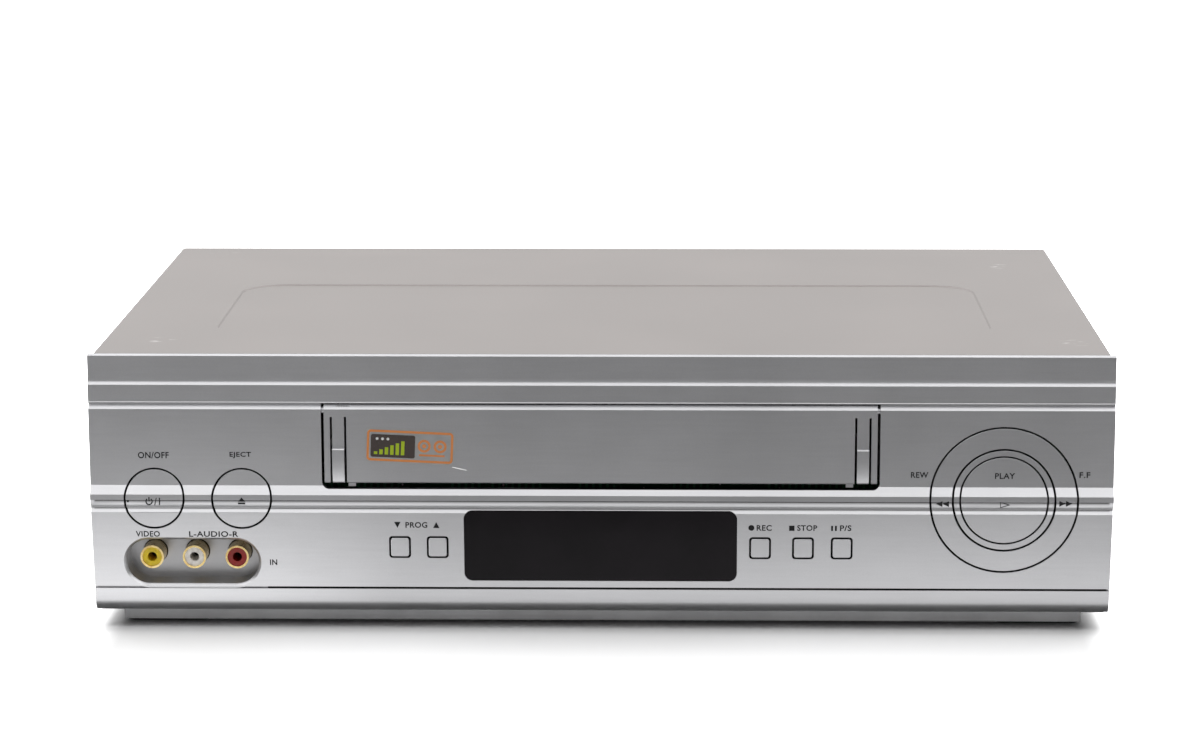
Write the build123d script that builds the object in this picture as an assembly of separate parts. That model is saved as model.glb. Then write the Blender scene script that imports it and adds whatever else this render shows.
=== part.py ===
"""Home video cassette recorder, front loading, silver plastic panel and steel cover.

Right is +X, back is +Y, up is +Z.  While a piece is drawn, y = 0 is the plane of the brow at the top
of the front panel; write() then moves every piece so that the origin is the centre of the footprint.
All sizes are millimetres.
"""

import math
import os

from build123d import *

os.makedirs("parts", exist_ok=True)

# ---------------------------------------------------------------- overall size
WIDTH = 360.0
HEIGHT = 99.0
DEPTH = 238.0
NOSE = 2.2                      # the lower face stands this far out in front of the brow
FACE = -DEPTH / 2 + NOSE        # where the brow plane lies in the finished part
REACH = DEPTH - NOSE            # how far the aerial sockets reach behind the brow plane

# ---------------------------------------------------------------- clearances
CLEAR = 0.3                     # between bodies that lie beside each other
FIT = 0.06                      # radial clearance of a shaft in its bearing
BUTTON_GAP = 0.7                # round buttons in the panel
SQUARE_GAP = 0.65               # small buttons in the panel

# ---------------------------------------------------------------- steel cover
SHEET = 0.8
COVER_INSET = 1.0               # the cover is this much narrower than the panel, each side
COVER_SIDE = WIDTH / 2 - COVER_INSET
COVER_START = 3.0 + CLEAR
COVER_TAIL = 4.8                # the aerial sockets reach this far behind the cover
COVER_END = REACH - COVER_TAIL
COVER_SKIRT = 6.5               # lower edge of its sides
COVER_BEND = 2.0
INNER_BEND = 1.5                # corners of what fits inside the cover
EMBOSS_WIDTH = WIDTH - 78.0
EMBOSS_DEPTH = 104.0
EMBOSS_CORNER = 16.0
EMBOSS_RISE = 0.5
EMBOSS_Y = 92.0

# ---------------------------------------------------------------- front panel
PANEL_LAND = 3.0                # thickness of the panel's edge at the seam
LOWER_WALL = 2.4
TONGUE = 2.0                    # wall that tucks inside the cover
TONGUE_END = 14.0
PANEL_FOOT = 6.1                # height of the panel's lower edge
BROW_SETBACK = 1.8
BROW_FOOT = 88.3
BAND_SETBACK = 1.0
BAND_FOOT = 82.0
LIP_RISE = 0.1                  # the band ends in a lip that stands this far out
LIP_FOOT = 81.7
MAIN_TOP = 81.1
MAIN_SETBACK = 0.6
MAIN_BEVEL_DEPTH = 1.3          # bevel along the top of the main face and the door
MAIN_BEVEL_HEIGHT = 1.5
LEDGE_TOP = 52.2
LEDGE_FOOT = 49.1
LEDGE_SETBACK = -1.15           # below it two narrow steps lead down to the nose
LOWER_TOP = 43.0
LOWER_FOOT = 15.6
LOWER_SETBACK = 0.0
END_TAPER = 0.7                 # the lower unit's ends draw in by this much

# cassette door
DOOR_HALF = 97.1
DOOR_SIDE_GAP = 1.0
DOOR_FOOT = 53.1
DOOR_SKIN = 2.0
BAY_FOOT = 51.1                 # lower edge of the opening behind the door
BAY_CORNER = 2.5
HINGE_Y = 3.0
HINGE_Z = 79.0
HINGE_PIN = 1.2
SLIT_TOP = 76.9
SLIT_WIDTH = 0.8
INNER_SLIT = DOOR_HALF - 7.9
OUTER_SLIT = DOOR_HALF - 2.9
TAB_TOP = 65.6
TAB_RISE = 1.2
SPRING_COIL = 1.25              # radius of the coil's centre line
SPRING_WIRE = 0.25
SPRING_TURNS = 6
SPRING_LEG = 7.0
SPRING_X = (-DOOR_HALF + 4.3, -DOOR_HALF + 9.1)

# controls
CONTROL_Z = 47.7
STANDBY_X = -WIDTH / 2 + 22.7
EJECT_X = STANDBY_X + 30.9
ROUND_HOLE = 10.8
RING_X = WIDTH / 2 - 38.4
RING_HOLE = 26.2
RING_INNER = 18.3
TRIM_OUTER = 17.6
TRIM_INNER = 15.7
PLAY_RADIUS = 15.1
RING_PIVOT_Y = 4.5
RING_PIN = 1.0
ROCK_PIN_X = 22.0
ROCK_TRAVEL = 0.96              # the ring's pins move this far at full rock
SQUARE_WIDTH = 7.7
SQUARE_HEIGHT = 8.1
SQUARE_CORNER = 1.2
SQUARE_Z = 30.4
SQUARE_PROUD = 0.5
WINDOW_HALF = 48.1
SQUARE_BUTTONS = {
    "program_down_button": -WINDOW_HALF - 22.6,
    "program_up_button": -WINDOW_HALF - 9.3,
    "record_button": WINDOW_HALF + 8.1,
    "stop_button": WINDOW_HALF + 23.2,
    "pause_button": WINDOW_HALF + 36.8,
}
TRAVEL = 1.0                    # every push button travels this far
COLLAR = 1.8
COLLAR_END = 5.5
BUTTON_FLANGE = 1.3
RING_COLLAR_END = 8.5
TRIM_DISC = 1.2

# display window
WINDOW_FOOT = 18.0
WINDOW_TOP = 43.9
WINDOW_CORNER = 3.0
WINDOW_LIP = 2.0
WINDOW_THICK = 4.3

# signal sockets at the front
POCKET_X = -WIDTH / 2 + 35.7
POCKET_Z = 24.65
POCKET_LENGTH = 47.0
POCKET_HEIGHT = 16.3
POCKET_WALL = 1.5
POCKET_FLOOR = 10.0
POCKET_BEVEL = 0.9
JACK_Z = 26.0
JACK_XS = (POCKET_X - 14.6, POCKET_X + 0.4, POCKET_X + 15.6)
JACK_BARREL = 4.15
JACK_WALL = 0.7
NECK = 0.25                     # the barrels are this much thinner where they pass a wall
JACK_BORE = 1.65
JACK_FRONT = 1.0

# board behind the panel
BOARD = 1.6
FRONT_BOARD_Y = 17.0
SWITCH_TIP = 13.0               # where the tact switches' plungers end
SWITCH_SIDE = 6.0
POST = 2.3
PANEL_POSTS = ((WIDTH / 2 - 7.3, 44.0), (DOOR_HALF + 6.9, 44.0), (DOOR_HALF + 6.9, 19.0))

# chassis
CHASSIS_HALF = WIDTH / 2 - 9.5
CHASSIS_FRONT = 8.0
CHASSIS_FOOT = 1.5
CHASSIS_FLOOR = 3.0
CHASSIS_WALL = 2.5
CHASSIS_TOP = 14.0
REAR_PLATE = 1.8
REAR_RECESS = 2.4               # the rear panel lies this far inside the cover's end
REAR_Y = COVER_END - REAR_RECESS
CHASSIS_END = REAR_Y - REAR_PLATE - CLEAR
RAIL_Z = 8.0
RAIL_THICK = 2.5
RAIL_START = 16.0
HATCH_HALF = CHASSIS_HALF - 44.5
HATCH_START = 44.0
HATCH_LENGTH = 160.0
HATCH_REBATE = 6.0
FOOT_WIDTH = 30.0
FOOT_LENGTH = 18.0
SCREW = 1.5
SCREW_HEAD = 3.0
SIDE_SCREW_Z = 13.0
SIDE_SCREW_YS = (60.0, 190.0)
REAR_SCREW_Z = 11.0

# main board
BOARD_Z = 9.0
BOARD_TOP = BOARD_Z + BOARD
BOARD_HALF = CHASSIS_HALF - 5.5
BOARD_START = 40.0
BOARD_END = CHASSIS_END - 9.3
CORE_WIDTH = 44.0               # transformer
CORE_HEIGHT = 38.0
SINK_WIDTH = 34.0
SINK_HEIGHT = 36.0
SINK_FINS = 8
SINK_PLATE = 1.5
CANS = ((15.0, 66.0, 9.0, 32.0), (37.0, 64.0, 6.5, 24.0), (37.0, 82.0, 5.0, 18.0))
RIBBON_WIDTH = 26.0
RIBBON_X = BOARD_HALF - 47.0    # left edge of the flat cable

# rear sockets
INLET_X = -WIDTH / 2 + 30.0
INLET_HALF = 13.0
INLET_Z = (16.0, 33.0)
INLET_DEPTH = 16.0
INLET_PIN = 1.16
INLET_PIN_X = 4.3
SCART_XS = (-78.0, -18.0)
SCART_HALF = 25.0
SCART_Z = (15.0, 33.0)
SCART_DEPTH = 12.0
TUNER_X = (WIDTH / 2 - 67.0, WIDTH / 2 - 15.0)
TUNER_LENGTH = 52.0
AERIAL_XS = (TUNER_X[0] + 12.0, TUNER_X[1] - 12.0)
AERIAL_Z = 26.0
AERIAL_RADIUS = 4.75
REAR_JACK_XS = (38.0, 54.0)
REAR_JACK_Z = 24.0
REAR_JACK_HALF = 6.0
REAR_SCREW_XS = (
    (INLET_X + INLET_HALF + SCART_XS[0] - SCART_HALF) / 2,
    19.5,
    WIDTH / 2 - 18.0,
)
VENT_COLUMNS = 5
VENT_ROWS = 4
VENT_STEP = (28.0, 7.0)
VENT_START = (-WIDTH / 2 + 30.0, 62.0)

# ---------------------------------------------------------------- tape deck
DECK_Z = 22.0
DECK = 1.5
DECK_TOP = DECK_Z + DECK
DECK_HALF = 109.0
DECK_START = 24.0
DECK_END = 214.5
DECK_POSTS = ((90.0, 32.0), (90.0, 209.0))
WASHER = 0.5                    # turning pieces run this far above the deck
WHEEL_BOTTOM = DECK_TOP + WASHER
TAB_EDGE = -131.0               # tab that carries the loading motor
TAB_Y = (106.0, 150.0)

CASSETTE_WIDTH = 188.0
CASSETTE_HEIGHT = 25.0
CASSETTE_Z = 51.4               # underside of a cassette that has just gone in
LOWERING = 22.0
FEEDING = 60.0
SPINDLE_TOP = CASSETTE_Z - 6.0
REEL_X = 46.25
REEL_Y = 86.0
REEL_WHEEL = 18.0
REEL_SPINDLE = 8.0
STUD = 2.5

DRUM_Y = 178.0
DRUM_RADIUS = 31.0
DRUM_TILT = 5.0
DRUM_SEAT = 28.5
LOWER_DRUM = 17.0
UPPER_DRUM = 14.5
DRUM_SHAFT = 3.0

CAPSTAN_X = 70.0
CAPSTAN_Y = 150.0
CAPSTAN_SHAFT = 2.0
CAPSTAN_BEARING = 4.3
STATOR = 2.3                    # thickness of the capstan motor's plate
FLYWHEEL = 24.0
CAPSTAN_PULLEY = 9.0
CLUTCH_Y = 104.0
CLUTCH_PULLEY = 14.0
CLUTCH_WHEEL = 8.0
BELT = 0.8
BELT_WIDTH = 2.4
BELT_Z = 13.2
IDLER_WHEEL = 15.0
IDLER_GAP = 0.2

PINCH_ROLLER = 6.0
PINCH_GAP = 0.3
PINCH_SWING = 25.0
PINCH_PIVOT = (86.0, 172.0)
TENSION_PIVOT = (-90.0, 160.0)
TENSION_POST = (-66.0, 152.0)
GUIDE_RADIUS = 44.0
GUIDE_REST = 20.0               # angle from straight forward
GUIDE_SWEEP = 95.0
GUIDE_PIN = 2.0
AUDIO_HEAD_AT = (62.0, 190.0)
ERASE_HEAD_AT = (-64.0, 172.0)

MODULE = 0.8
CAM_TEETH = 60
PINION_TEETH = 12
CAM_AT = (-86.4, 128.0)
CAM_THICK = 3.6
MOTOR_RADIUS = 11.0
MOTOR_LENGTH = 28.0

CARRIAGE_WALL = 1.0
CARRIAGE_PLAY = 1.2             # each side of the cassette
CARRIAGE_START = 92.0           # where the carriage lies when the cassette is in
CARRIAGE_END = 142.0
CARRIAGE_INNER = CASSETTE_WIDTH / 2 + CARRIAGE_PLAY
CARRIAGE_OUTER = CARRIAGE_INNER + CARRIAGE_WALL
CARRIAGE_FOOT = CASSETTE_Z - CARRIAGE_WALL - 0.1
CARRIAGE_TOP = CASSETTE_Z + CASSETTE_HEIGHT + 0.4
CARRIAGE_LEDGE = 10.0
CARRIAGE_PIN = 1.5
CARRIAGE_PINS = ((98.0, 58.0), (136.0, 68.0))
PIN_SLOT = 1.8                  # half width of the slots that the pins run in
BRACKET_GAP = 3.3
BRACKET = 1.0
BRACKET_INNER = CARRIAGE_OUTER + BRACKET_GAP
BRACKET_OUTER = BRACKET_INNER + BRACKET
BRACKET_START = 32.0
BRACKET_END = 160.0
BRACKET_TOP = 80.0
SLIDER_INNER = BRACKET_OUTER + CLEAR
SLIDER_OUTER = SLIDER_INNER + 1.0
SLIDER_FOOT = 34.0
SLIDER_TOP = 72.0


# ---------------------------------------------------------------- drawing helpers
def box(x, y, z):
    """Box from three (low, high) pairs."""
    size = (x[1] - x[0], y[1] - y[0], z[1] - z[0])
    centre = ((x[0] + x[1]) / 2, (y[0] + y[1]) / 2, (z[0] + z[1]) / 2)
    return Pos(*centre) * Box(*size)


def pair(x, y, z):
    """The same box on the right and mirrored on the left."""
    return box(x, y, z) + box((-x[1], -x[0]), y, z)


def rod_x(y, z, radius, x):
    """Cylinder along X."""
    return Pos((x[0] + x[1]) / 2, y, z) * Rot(0, 90, 0) * Cylinder(radius, x[1] - x[0])


def rod_y(x, z, radius, y):
    """Cylinder along Y."""
    return Pos(x, (y[0] + y[1]) / 2, z) * Rot(90, 0, 0) * Cylinder(radius, y[1] - y[0])


def rod_z(x, y, radius, z):
    """Cylinder along Z."""
    return Pos(x, y, (z[0] + z[1]) / 2) * Cylinder(radius, z[1] - z[0])


def facing(sketch, x, z, y):
    """Push a sketch through y, its own x to the right and its own y upwards."""
    plane = Plane(origin=(x, y[1], z), x_dir=(1, 0, 0), z_dir=(0, -1, 0))
    return extrude(plane * sketch, y[1] - y[0])


def along_x(points, x):
    """Push an outline of (y, z) points along X."""
    plane = Plane(origin=(x[0], 0, 0), x_dir=(0, 1, 0), z_dir=(1, 0, 0))
    return extrude(plane * make_face(Polyline(*points, close=True)), x[1] - x[0])


def rounded(x, z, radius, y):
    """Rounded rectangle seen from the front, pushed through y."""
    sketch = RectangleRounded(x[1] - x[0], z[1] - z[0], radius)
    return facing(sketch, (x[0] + x[1]) / 2, (z[0] + z[1]) / 2, y)


def tube_y(x, z, outer, inner, y):
    """Tube along Y."""
    return facing(Circle(outer) - Circle(inner), x, z, y)


def tube_z(x, y, outer, inner, z):
    """Tube along Z."""
    return Pos(x, y, z[0]) * extrude(Circle(outer) - Circle(inner), z[1] - z[0])


def group(pieces):
    """Several separate solids that share one node."""
    return Compound([solid for piece in pieces for solid in piece.solids()])


def write(name, shape):
    """Move a piece from the drawing frame to the part's frame and write its STEP file."""
    export_step(Pos(0, FACE, 0) * shape, f"parts/{name}.step")


# ---------------------------------------------------------------- front panel profile
def lower_face(z):
    """How far back the leaning lower face lies at a height."""
    lean = (LOWER_SETBACK + NOSE) / (LOWER_TOP - LOWER_FOOT)
    return -NOSE + (LOWER_TOP - z) * lean


def front_line():
    """Outer line of the panel's section as (y, z), from its top down to its foot."""
    return [
        (BROW_SETBACK + 0.5, HEIGHT),
        (BROW_SETBACK, HEIGHT - 0.6),
        (BROW_SETBACK, BROW_FOOT + 2.4),
        (BROW_SETBACK - 0.12, BROW_FOOT + 1.1),
        (BROW_SETBACK - 0.4, BROW_FOOT + 0.5),
        (BAND_SETBACK, BROW_FOOT - 0.1),
        (BAND_SETBACK, BAND_FOOT + 0.2),
        (BAND_SETBACK - LIP_RISE, BAND_FOOT),
        (BAND_SETBACK - LIP_RISE, LIP_FOOT),
        (MAIN_SETBACK + MAIN_BEVEL_DEPTH, LIP_FOOT),
        (MAIN_SETBACK + MAIN_BEVEL_DEPTH, MAIN_TOP),
        (MAIN_SETBACK, MAIN_TOP - MAIN_BEVEL_HEIGHT),
        (MAIN_SETBACK, LEDGE_TOP),
        (LEDGE_SETBACK, LEDGE_FOOT),
        (LEDGE_SETBACK - 0.1, LEDGE_FOOT - 1.9),
        (LEDGE_SETBACK + 0.3, LEDGE_FOOT - 1.95),
        (LEDGE_SETBACK - 0.45, LEDGE_FOOT - 3.7),
        (LEDGE_SETBACK - 0.5, LEDGE_FOOT - 4.6),
        (LEDGE_SETBACK - 0.2, LEDGE_FOOT - 4.65),
        (-NOSE, LOWER_TOP),
        (LOWER_SETBACK, LOWER_FOOT),
        (LOWER_SETBACK + 1.0, LOWER_FOOT - 0.1),
        (LOWER_SETBACK + 1.0, LOWER_FOOT - 0.6),
        (LOWER_SETBACK + 0.1, LOWER_FOOT - 0.8),
        (LOWER_SETBACK + 0.5, PANEL_FOOT + 4.2),
        (LOWER_SETBACK + 1.1, PANEL_FOOT + 2.2),
        (LOWER_SETBACK + 2.3, PANEL_FOOT + 0.7),
        (LOWER_SETBACK + 4.0, PANEL_FOOT),
    ]


def front_block(back, x):
    """The panel's outer form as a block that ends at a flat back."""
    foot = PANEL_FOOT + TONGUE
    ends = [(LOWER_SETBACK + 4.0, foot), (back, foot), (back, HEIGHT)]
    return along_x(front_line() + ends, x)


def square_tube(x):
    """Collar round a small button's hole."""
    half_width = SQUARE_WIDTH / 2
    half_height = SQUARE_HEIGHT / 2
    outer = rounded(
        (x - half_width - COLLAR, x + half_width + COLLAR),
        (SQUARE_Z - half_height - COLLAR, SQUARE_Z + half_height + COLLAR),
        SQUARE_CORNER + COLLAR,
        (lower_face(SQUARE_Z) + LOWER_WALL / 2, COLLAR_END),
    )
    return outer


def square_hole(x):
    """Hole for a small button."""
    return rounded(
        (x - SQUARE_WIDTH / 2, x + SQUARE_WIDTH / 2),
        (SQUARE_Z - SQUARE_HEIGHT / 2, SQUARE_Z + SQUARE_HEIGHT / 2),
        SQUARE_CORNER,
        (-NOSE - 3, COLLAR_END + 1),
    )


def panel_shell():
    """Front wall, end walls and the tongue that tucks inside the cover."""
    half = WIDTH / 2
    foot = PANEL_FOOT + TONGUE
    rim = CHASSIS_FRONT - CLEAR
    inner_line = [
        (rim, PANEL_FOOT),
        (rim, foot),
        (LOWER_SETBACK + LOWER_WALL, foot),
        (LOWER_SETBACK + LOWER_WALL, LOWER_FOOT),
        (-NOSE + LOWER_WALL, LOWER_TOP),
        (-NOSE + LOWER_WALL, LEDGE_FOOT - 3.1),
        (PANEL_LAND, LEDGE_FOOT + 0.9),
        (PANEL_LAND, HEIGHT),
    ]
    shell = along_x(front_line() + inner_line, (-half, half))
    ends = front_block(PANEL_LAND, (-half, half)) - box(
        (-half + 4.4, half - 4.4), (-9, 9), (0, HEIGHT + 1)
    )
    inner_side = COVER_SIDE - SHEET - CLEAR
    inner_top = HEIGHT - SHEET - CLEAR
    reach = (PANEL_LAND - 0.5, TONGUE_END)
    tongue = rounded((-inner_side, inner_side), (foot - 9, inner_top), INNER_BEND, reach)
    tongue -= rounded(
        (-inner_side + TONGUE, inner_side - TONGUE), (0, inner_top - TONGUE), INNER_BEND, (0, 99)
    )
    tongue -= box((-half, half), (0, 99), (-9, foot))
    beside = pair((inner_side, half + 1), (PANEL_LAND, TONGUE_END), (0, foot + 1))
    return shell + ends - beside + tongue


def panel_collars():
    """Collars, bosses and posts on the back of the panel."""
    wall = 1.0
    parts = [
        rod_y(x, CONTROL_Z, ROUND_HOLE + COLLAR, (wall, COLLAR_END)) for x in (STANDBY_X, EJECT_X)
    ]
    parts.append(rod_y(RING_X, CONTROL_Z, RING_HOLE + COLLAR, (wall, RING_COLLAR_END)))
    parts += [square_tube(x) for x in SQUARE_BUTTONS.values()]
    bearing_start = DOOR_HALF + DOOR_SIDE_GAP
    bearing_front = MAIN_SETBACK + MAIN_BEVEL_DEPTH + 0.3
    parts.append(
        pair((bearing_start, bearing_start + 3), (bearing_front, 6.0), (HINGE_Z - 2.6, HINGE_Z + 2.6))
    )
    for x, z in PANEL_POSTS:
        start = lower_face(z) + LOWER_WALL - 1.0
        parts += [rod_y(side * x, z, POST, (start, FRONT_BOARD_Y)) for side in (-1, 1)]
    latch_z = CHASSIS_TOP + CLEAR
    latch_end = CHASSIS_FRONT + CHASSIS_WALL + CLEAR
    for x in (-100.0, 0.0, 100.0):
        parts.append(box((x - 6, x + 6), (1.5, latch_end + 1.5), (latch_z, latch_z + 2)))
        parts.append(box((x - 6, x + 6), (latch_end, latch_end + 1.5), (latch_z - 1.5, latch_z + 1)))
    return parts


def pocket(grow, y):
    """Stadium of the socket pocket, grown by a margin."""
    sketch = SlotOverall(POCKET_LENGTH + 2 * grow, POCKET_HEIGHT + 2 * grow)
    return facing(sketch, POCKET_X, POCKET_Z, y)


def pocket_bevel():
    """Bevelled rim where the pocket meets the leaning lower face."""
    lean = math.atan((LOWER_SETBACK + NOSE) / (LOWER_TOP - LOWER_FOOT))
    plane = Plane(
        origin=(POCKET_X, lower_face(POCKET_Z) - 0.2, POCKET_Z),
        x_dir=(1, 0, 0),
        z_dir=(0, math.cos(lean), math.sin(lean)),
    )
    rim = POCKET_BEVEL + 0.2
    sketch = SlotOverall(POCKET_LENGTH + 2 * rim, POCKET_HEIGHT + 2 * rim)
    return extrude(plane * sketch, 2 * rim, taper=45)


def panel_cuts():
    """Openings in the panel."""
    deep = (-NOSE - 3, COLLAR_END + 1)
    bay = DOOR_HALF + DOOR_SIDE_GAP
    cuts = [rounded((-bay, bay), (BAY_FOOT, LIP_FOOT), BAY_CORNER, (-9, PANEL_LAND + 1))]
    cuts.append(box((-bay, bay), (MAIN_SETBACK, PANEL_LAND + 1), (MAIN_TOP - 4, LIP_FOOT)))
    cuts += [rod_y(x, CONTROL_Z, ROUND_HOLE, deep) for x in (STANDBY_X, EJECT_X)]
    cuts.append(rod_y(RING_X, CONTROL_Z, RING_HOLE, (-9, RING_COLLAR_END + 1)))
    pin_reach = RING_HOLE + COLLAR + 1
    cuts.append(
        rod_z(RING_X, RING_PIVOT_Y, RING_PIN + FIT, (CONTROL_Z - pin_reach, CONTROL_Z + pin_reach))
    )
    cuts += [square_hole(x) for x in SQUARE_BUTTONS.values()]
    cuts.append(
        rounded((-WINDOW_HALF, WINDOW_HALF), (WINDOW_FOOT, WINDOW_TOP), WINDOW_CORNER, deep)
    )
    cuts.append(rod_x(HINGE_Y, HINGE_Z, HINGE_PIN + FIT, (-bay - 3, bay + 3)))
    return cuts


def end_cuts():
    """Wedges that draw in the ends of the lower unit."""
    half = WIDTH / 2
    cuts = []
    for side in (-1, 1):
        outline = [
            (side * half, LEDGE_FOOT - 3),
            (side * (half - END_TAPER / 2), LEDGE_FOOT - 4),
            (side * (half - END_TAPER), PANEL_FOOT - 1),
            (side * (half + 1), PANEL_FOOT - 1),
            (side * (half + 1), LEDGE_FOOT - 3),
        ]
        cuts.append(facing(make_face(Polyline(*outline, close=True)), 0, 0, (-9, PANEL_LAND + 6)))
    return cuts


def front_panel():
    """Silver moulding with the ledges, the door opening, the holes and the socket pocket."""
    solid = panel_shell()
    solid += panel_collars()
    start = lower_face(POCKET_Z) + 0.9
    solid += pocket(POCKET_WALL, (start, POCKET_FLOOR + POCKET_WALL))
    solid -= panel_cuts()
    solid -= pocket(0, (-9, POCKET_FLOOR))
    solid -= pocket_bevel()
    barrel = JACK_BARREL + CLEAR
    solid -= [rod_y(x, JACK_Z, barrel, (POCKET_FLOOR - 1, POCKET_FLOOR + 3)) for x in JACK_XS]
    solid -= end_cuts()
    return solid


# ---------------------------------------------------------------- cassette door
def cassette_door():
    """Flap with slits at both ends, raised rubbing tabs and hinge pins."""
    back = MAIN_SETBACK + DOOR_SKIN
    section = [
        (MAIN_SETBACK + MAIN_BEVEL_DEPTH, MAIN_TOP),
        (MAIN_SETBACK, MAIN_TOP - MAIN_BEVEL_HEIGHT),
        (MAIN_SETBACK, DOOR_FOOT + 0.4),
        (MAIN_SETBACK + 0.4, DOOR_FOOT),
        (back, DOOR_FOOT),
        (back, MAIN_TOP),
    ]
    solid = along_x(section, (-DOOR_HALF, DOOR_HALF))
    tab = [
        (MAIN_SETBACK + 0.5, TAB_TOP),
        (MAIN_SETBACK - TAB_RISE + 0.2, TAB_TOP),
        (MAIN_SETBACK - TAB_RISE, TAB_TOP - 0.3),
        (MAIN_SETBACK - TAB_RISE, TAB_TOP - 3.0),
        (MAIN_SETBACK - 0.95 * TAB_RISE, TAB_TOP - 6.0),
        (MAIN_SETBACK - 0.7 * TAB_RISE, TAB_TOP - 9.0),
        (MAIN_SETBACK - 0.25 * TAB_RISE, TAB_TOP - 11.6),
        (MAIN_SETBACK + 0.2, DOOR_FOOT + 0.2),
        (MAIN_SETBACK + 0.5, DOOR_FOOT + 0.2),
    ]
    for side in (-1, 1):
        inner = side * (INNER_SLIT + SLIT_WIDTH)
        outer = side * OUTER_SLIT
        solid += along_x(tab, (min(inner, outer), max(inner, outer)))
    for start in (INNER_SLIT, OUTER_SLIT):
        solid -= pair((start, start + SLIT_WIDTH), (-9, 9), (DOOR_FOOT - 1, SLIT_TOP))
    ear = (HINGE_Z - 1.7, HINGE_Z + 1.7)
    solid += pair((DOOR_HALF - 4, DOOR_HALF), (back - 0.5, HINGE_Y + 1.6), ear)
    reach = DOOR_HALF + DOOR_SIDE_GAP + 2.6
    solid += rod_x(HINGE_Y, HINGE_Z, HINGE_PIN, (DOOR_HALF - 1, reach))
    solid += rod_x(HINGE_Y, HINGE_Z, HINGE_PIN, (-reach, -DOOR_HALF + 1))
    nub = (INNER_SLIT - 3, INNER_SLIT - 0.4)
    solid += pair(nub, (MAIN_SETBACK + 0.8, back), (DOOR_FOOT - 1.3, DOOR_FOOT + 0.5))
    return solid - spring_notch() + spring_stub()


def spring_notch():
    """Hollow in the back of the flap that the spring's coil lies in."""
    front = HINGE_Y - SPRING_COIL - SPRING_WIRE - 0.1
    back = MAIN_SETBACK + DOOR_SKIN + 1
    return box(SPRING_X, (front, back), (HINGE_Z - 1.7, HINGE_Z + 1.7))


def spring_stub():
    """Pin inside the coil, carried by the left ear."""
    radius = SPRING_COIL - SPRING_WIRE - 0.1
    return rod_x(HINGE_Y, HINGE_Z, radius, (-DOOR_HALF + 1, SPRING_X[1] - 0.2))


def door_spring():
    """Torsion spring that closes the flap: a coil with one leg up behind the panel."""
    pitch = (SPRING_X[1] - SPRING_X[0] - 1.2) / SPRING_TURNS
    start = SPRING_X[0] + 0.5
    coil = Plane(origin=(start, HINGE_Y, HINGE_Z), x_dir=(0, 1, 0), z_dir=(1, 0, 0)) * Helix(
        pitch, SPRING_TURNS * pitch, SPRING_COIL
    )
    wire = Plane(coil @ 0, z_dir=coil % 0) * Circle(SPRING_WIRE)
    leg = rod_z(start, HINGE_Y + SPRING_COIL, SPRING_WIRE, (HINGE_Z, HINGE_Z + SPRING_LEG))
    return sweep(wire, path=coil) + leg


# ---------------------------------------------------------------- window and controls
def window_slab(front, back):
    """Slab parallel to the leaning lower face, front and back measured from that face."""
    low = WINDOW_FOOT - 2 * WINDOW_LIP
    high = WINDOW_TOP + 2 * WINDOW_LIP
    outline = [
        (lower_face(low) + front, low),
        (lower_face(low) + back, low),
        (lower_face(high) + back, high),
        (lower_face(high) + front, high),
    ]
    return along_x(outline, (-WINDOW_HALF - WINDOW_LIP, WINDOW_HALF + WINDOW_LIP))


def display_window():
    """Dark window that fills its opening, with a lip behind the panel."""
    gap = 0.15
    through = (-9, 12)
    face = window_slab(0.25, WINDOW_THICK) & rounded(
        (-WINDOW_HALF + gap, WINDOW_HALF - gap),
        (WINDOW_FOOT + gap, WINDOW_TOP - gap),
        WINDOW_CORNER - gap,
        through,
    )
    lip = window_slab(LOWER_WALL + 0.5, WINDOW_THICK) & rounded(
        (-WINDOW_HALF - WINDOW_LIP, WINDOW_HALF + WINDOW_LIP),
        (WINDOW_FOOT - WINDOW_LIP + 0.4, WINDOW_TOP + WINDOW_LIP / 2),
        WINDOW_CORNER,
        through,
    )
    return face + lip


def push_reach(travel):
    """How far back a stem may end so that it stops just short of its switch."""
    return SWITCH_TIP - 0.1 - travel


def panel_plug(x, radius, back):
    """Piece of the panel's stepped face that fills a round hole."""
    block = front_block(PANEL_LAND, (x - radius - 1, x + radius + 1))
    face = block & rod_y(x, CONTROL_Z, radius, (-9, PANEL_LAND))
    return face + rod_y(x, CONTROL_Z, radius, (PANEL_LAND - 0.5, back))


def round_button(x):
    """Flush round button: the ledges of the panel run on across its face."""
    radius = ROUND_HOLE - BUTTON_GAP
    flange = COLLAR_END + CLEAR
    solid = panel_plug(x, radius, flange)
    solid += rod_y(x, CONTROL_Z, radius + COLLAR, (flange, flange + BUTTON_FLANGE))
    solid -= rod_y(x, CONTROL_Z, radius - 2, (PANEL_LAND, flange + BUTTON_FLANGE + 1))
    return solid + rod_y(x, CONTROL_Z, 2.5, (PANEL_LAND - 1, push_reach(TRAVEL)))


def square_button(x):
    """Small button that stands a little proud of the leaning lower face."""
    half_width = SQUARE_WIDTH / 2 - SQUARE_GAP
    half_height = SQUARE_HEIGHT / 2 - SQUARE_GAP
    low = SQUARE_Z - half_height
    high = SQUARE_Z + half_height
    flange = COLLAR_END + CLEAR
    side = [
        (lower_face(low) - SQUARE_PROUD, low),
        (flange + 0.5, low),
        (flange + 0.5, high),
        (lower_face(high) - SQUARE_PROUD, high),
    ]
    cap = along_x(side, (x - half_width, x + half_width))
    cap = fillet(cap.edges().filter_by(Axis.Y), 0.8)
    rim = cap.faces().sort_by(Axis.Y)[0].edges()
    cap = fillet(rim, 0.35)
    solid = cap + rounded(
        (x - half_width - COLLAR, x + half_width + COLLAR),
        (low - COLLAR, high + COLLAR),
        1.0,
        (flange, flange + BUTTON_FLANGE),
    )
    return solid + rod_y(x, SQUARE_Z, 2.0, (flange, push_reach(TRAVEL)))


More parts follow.
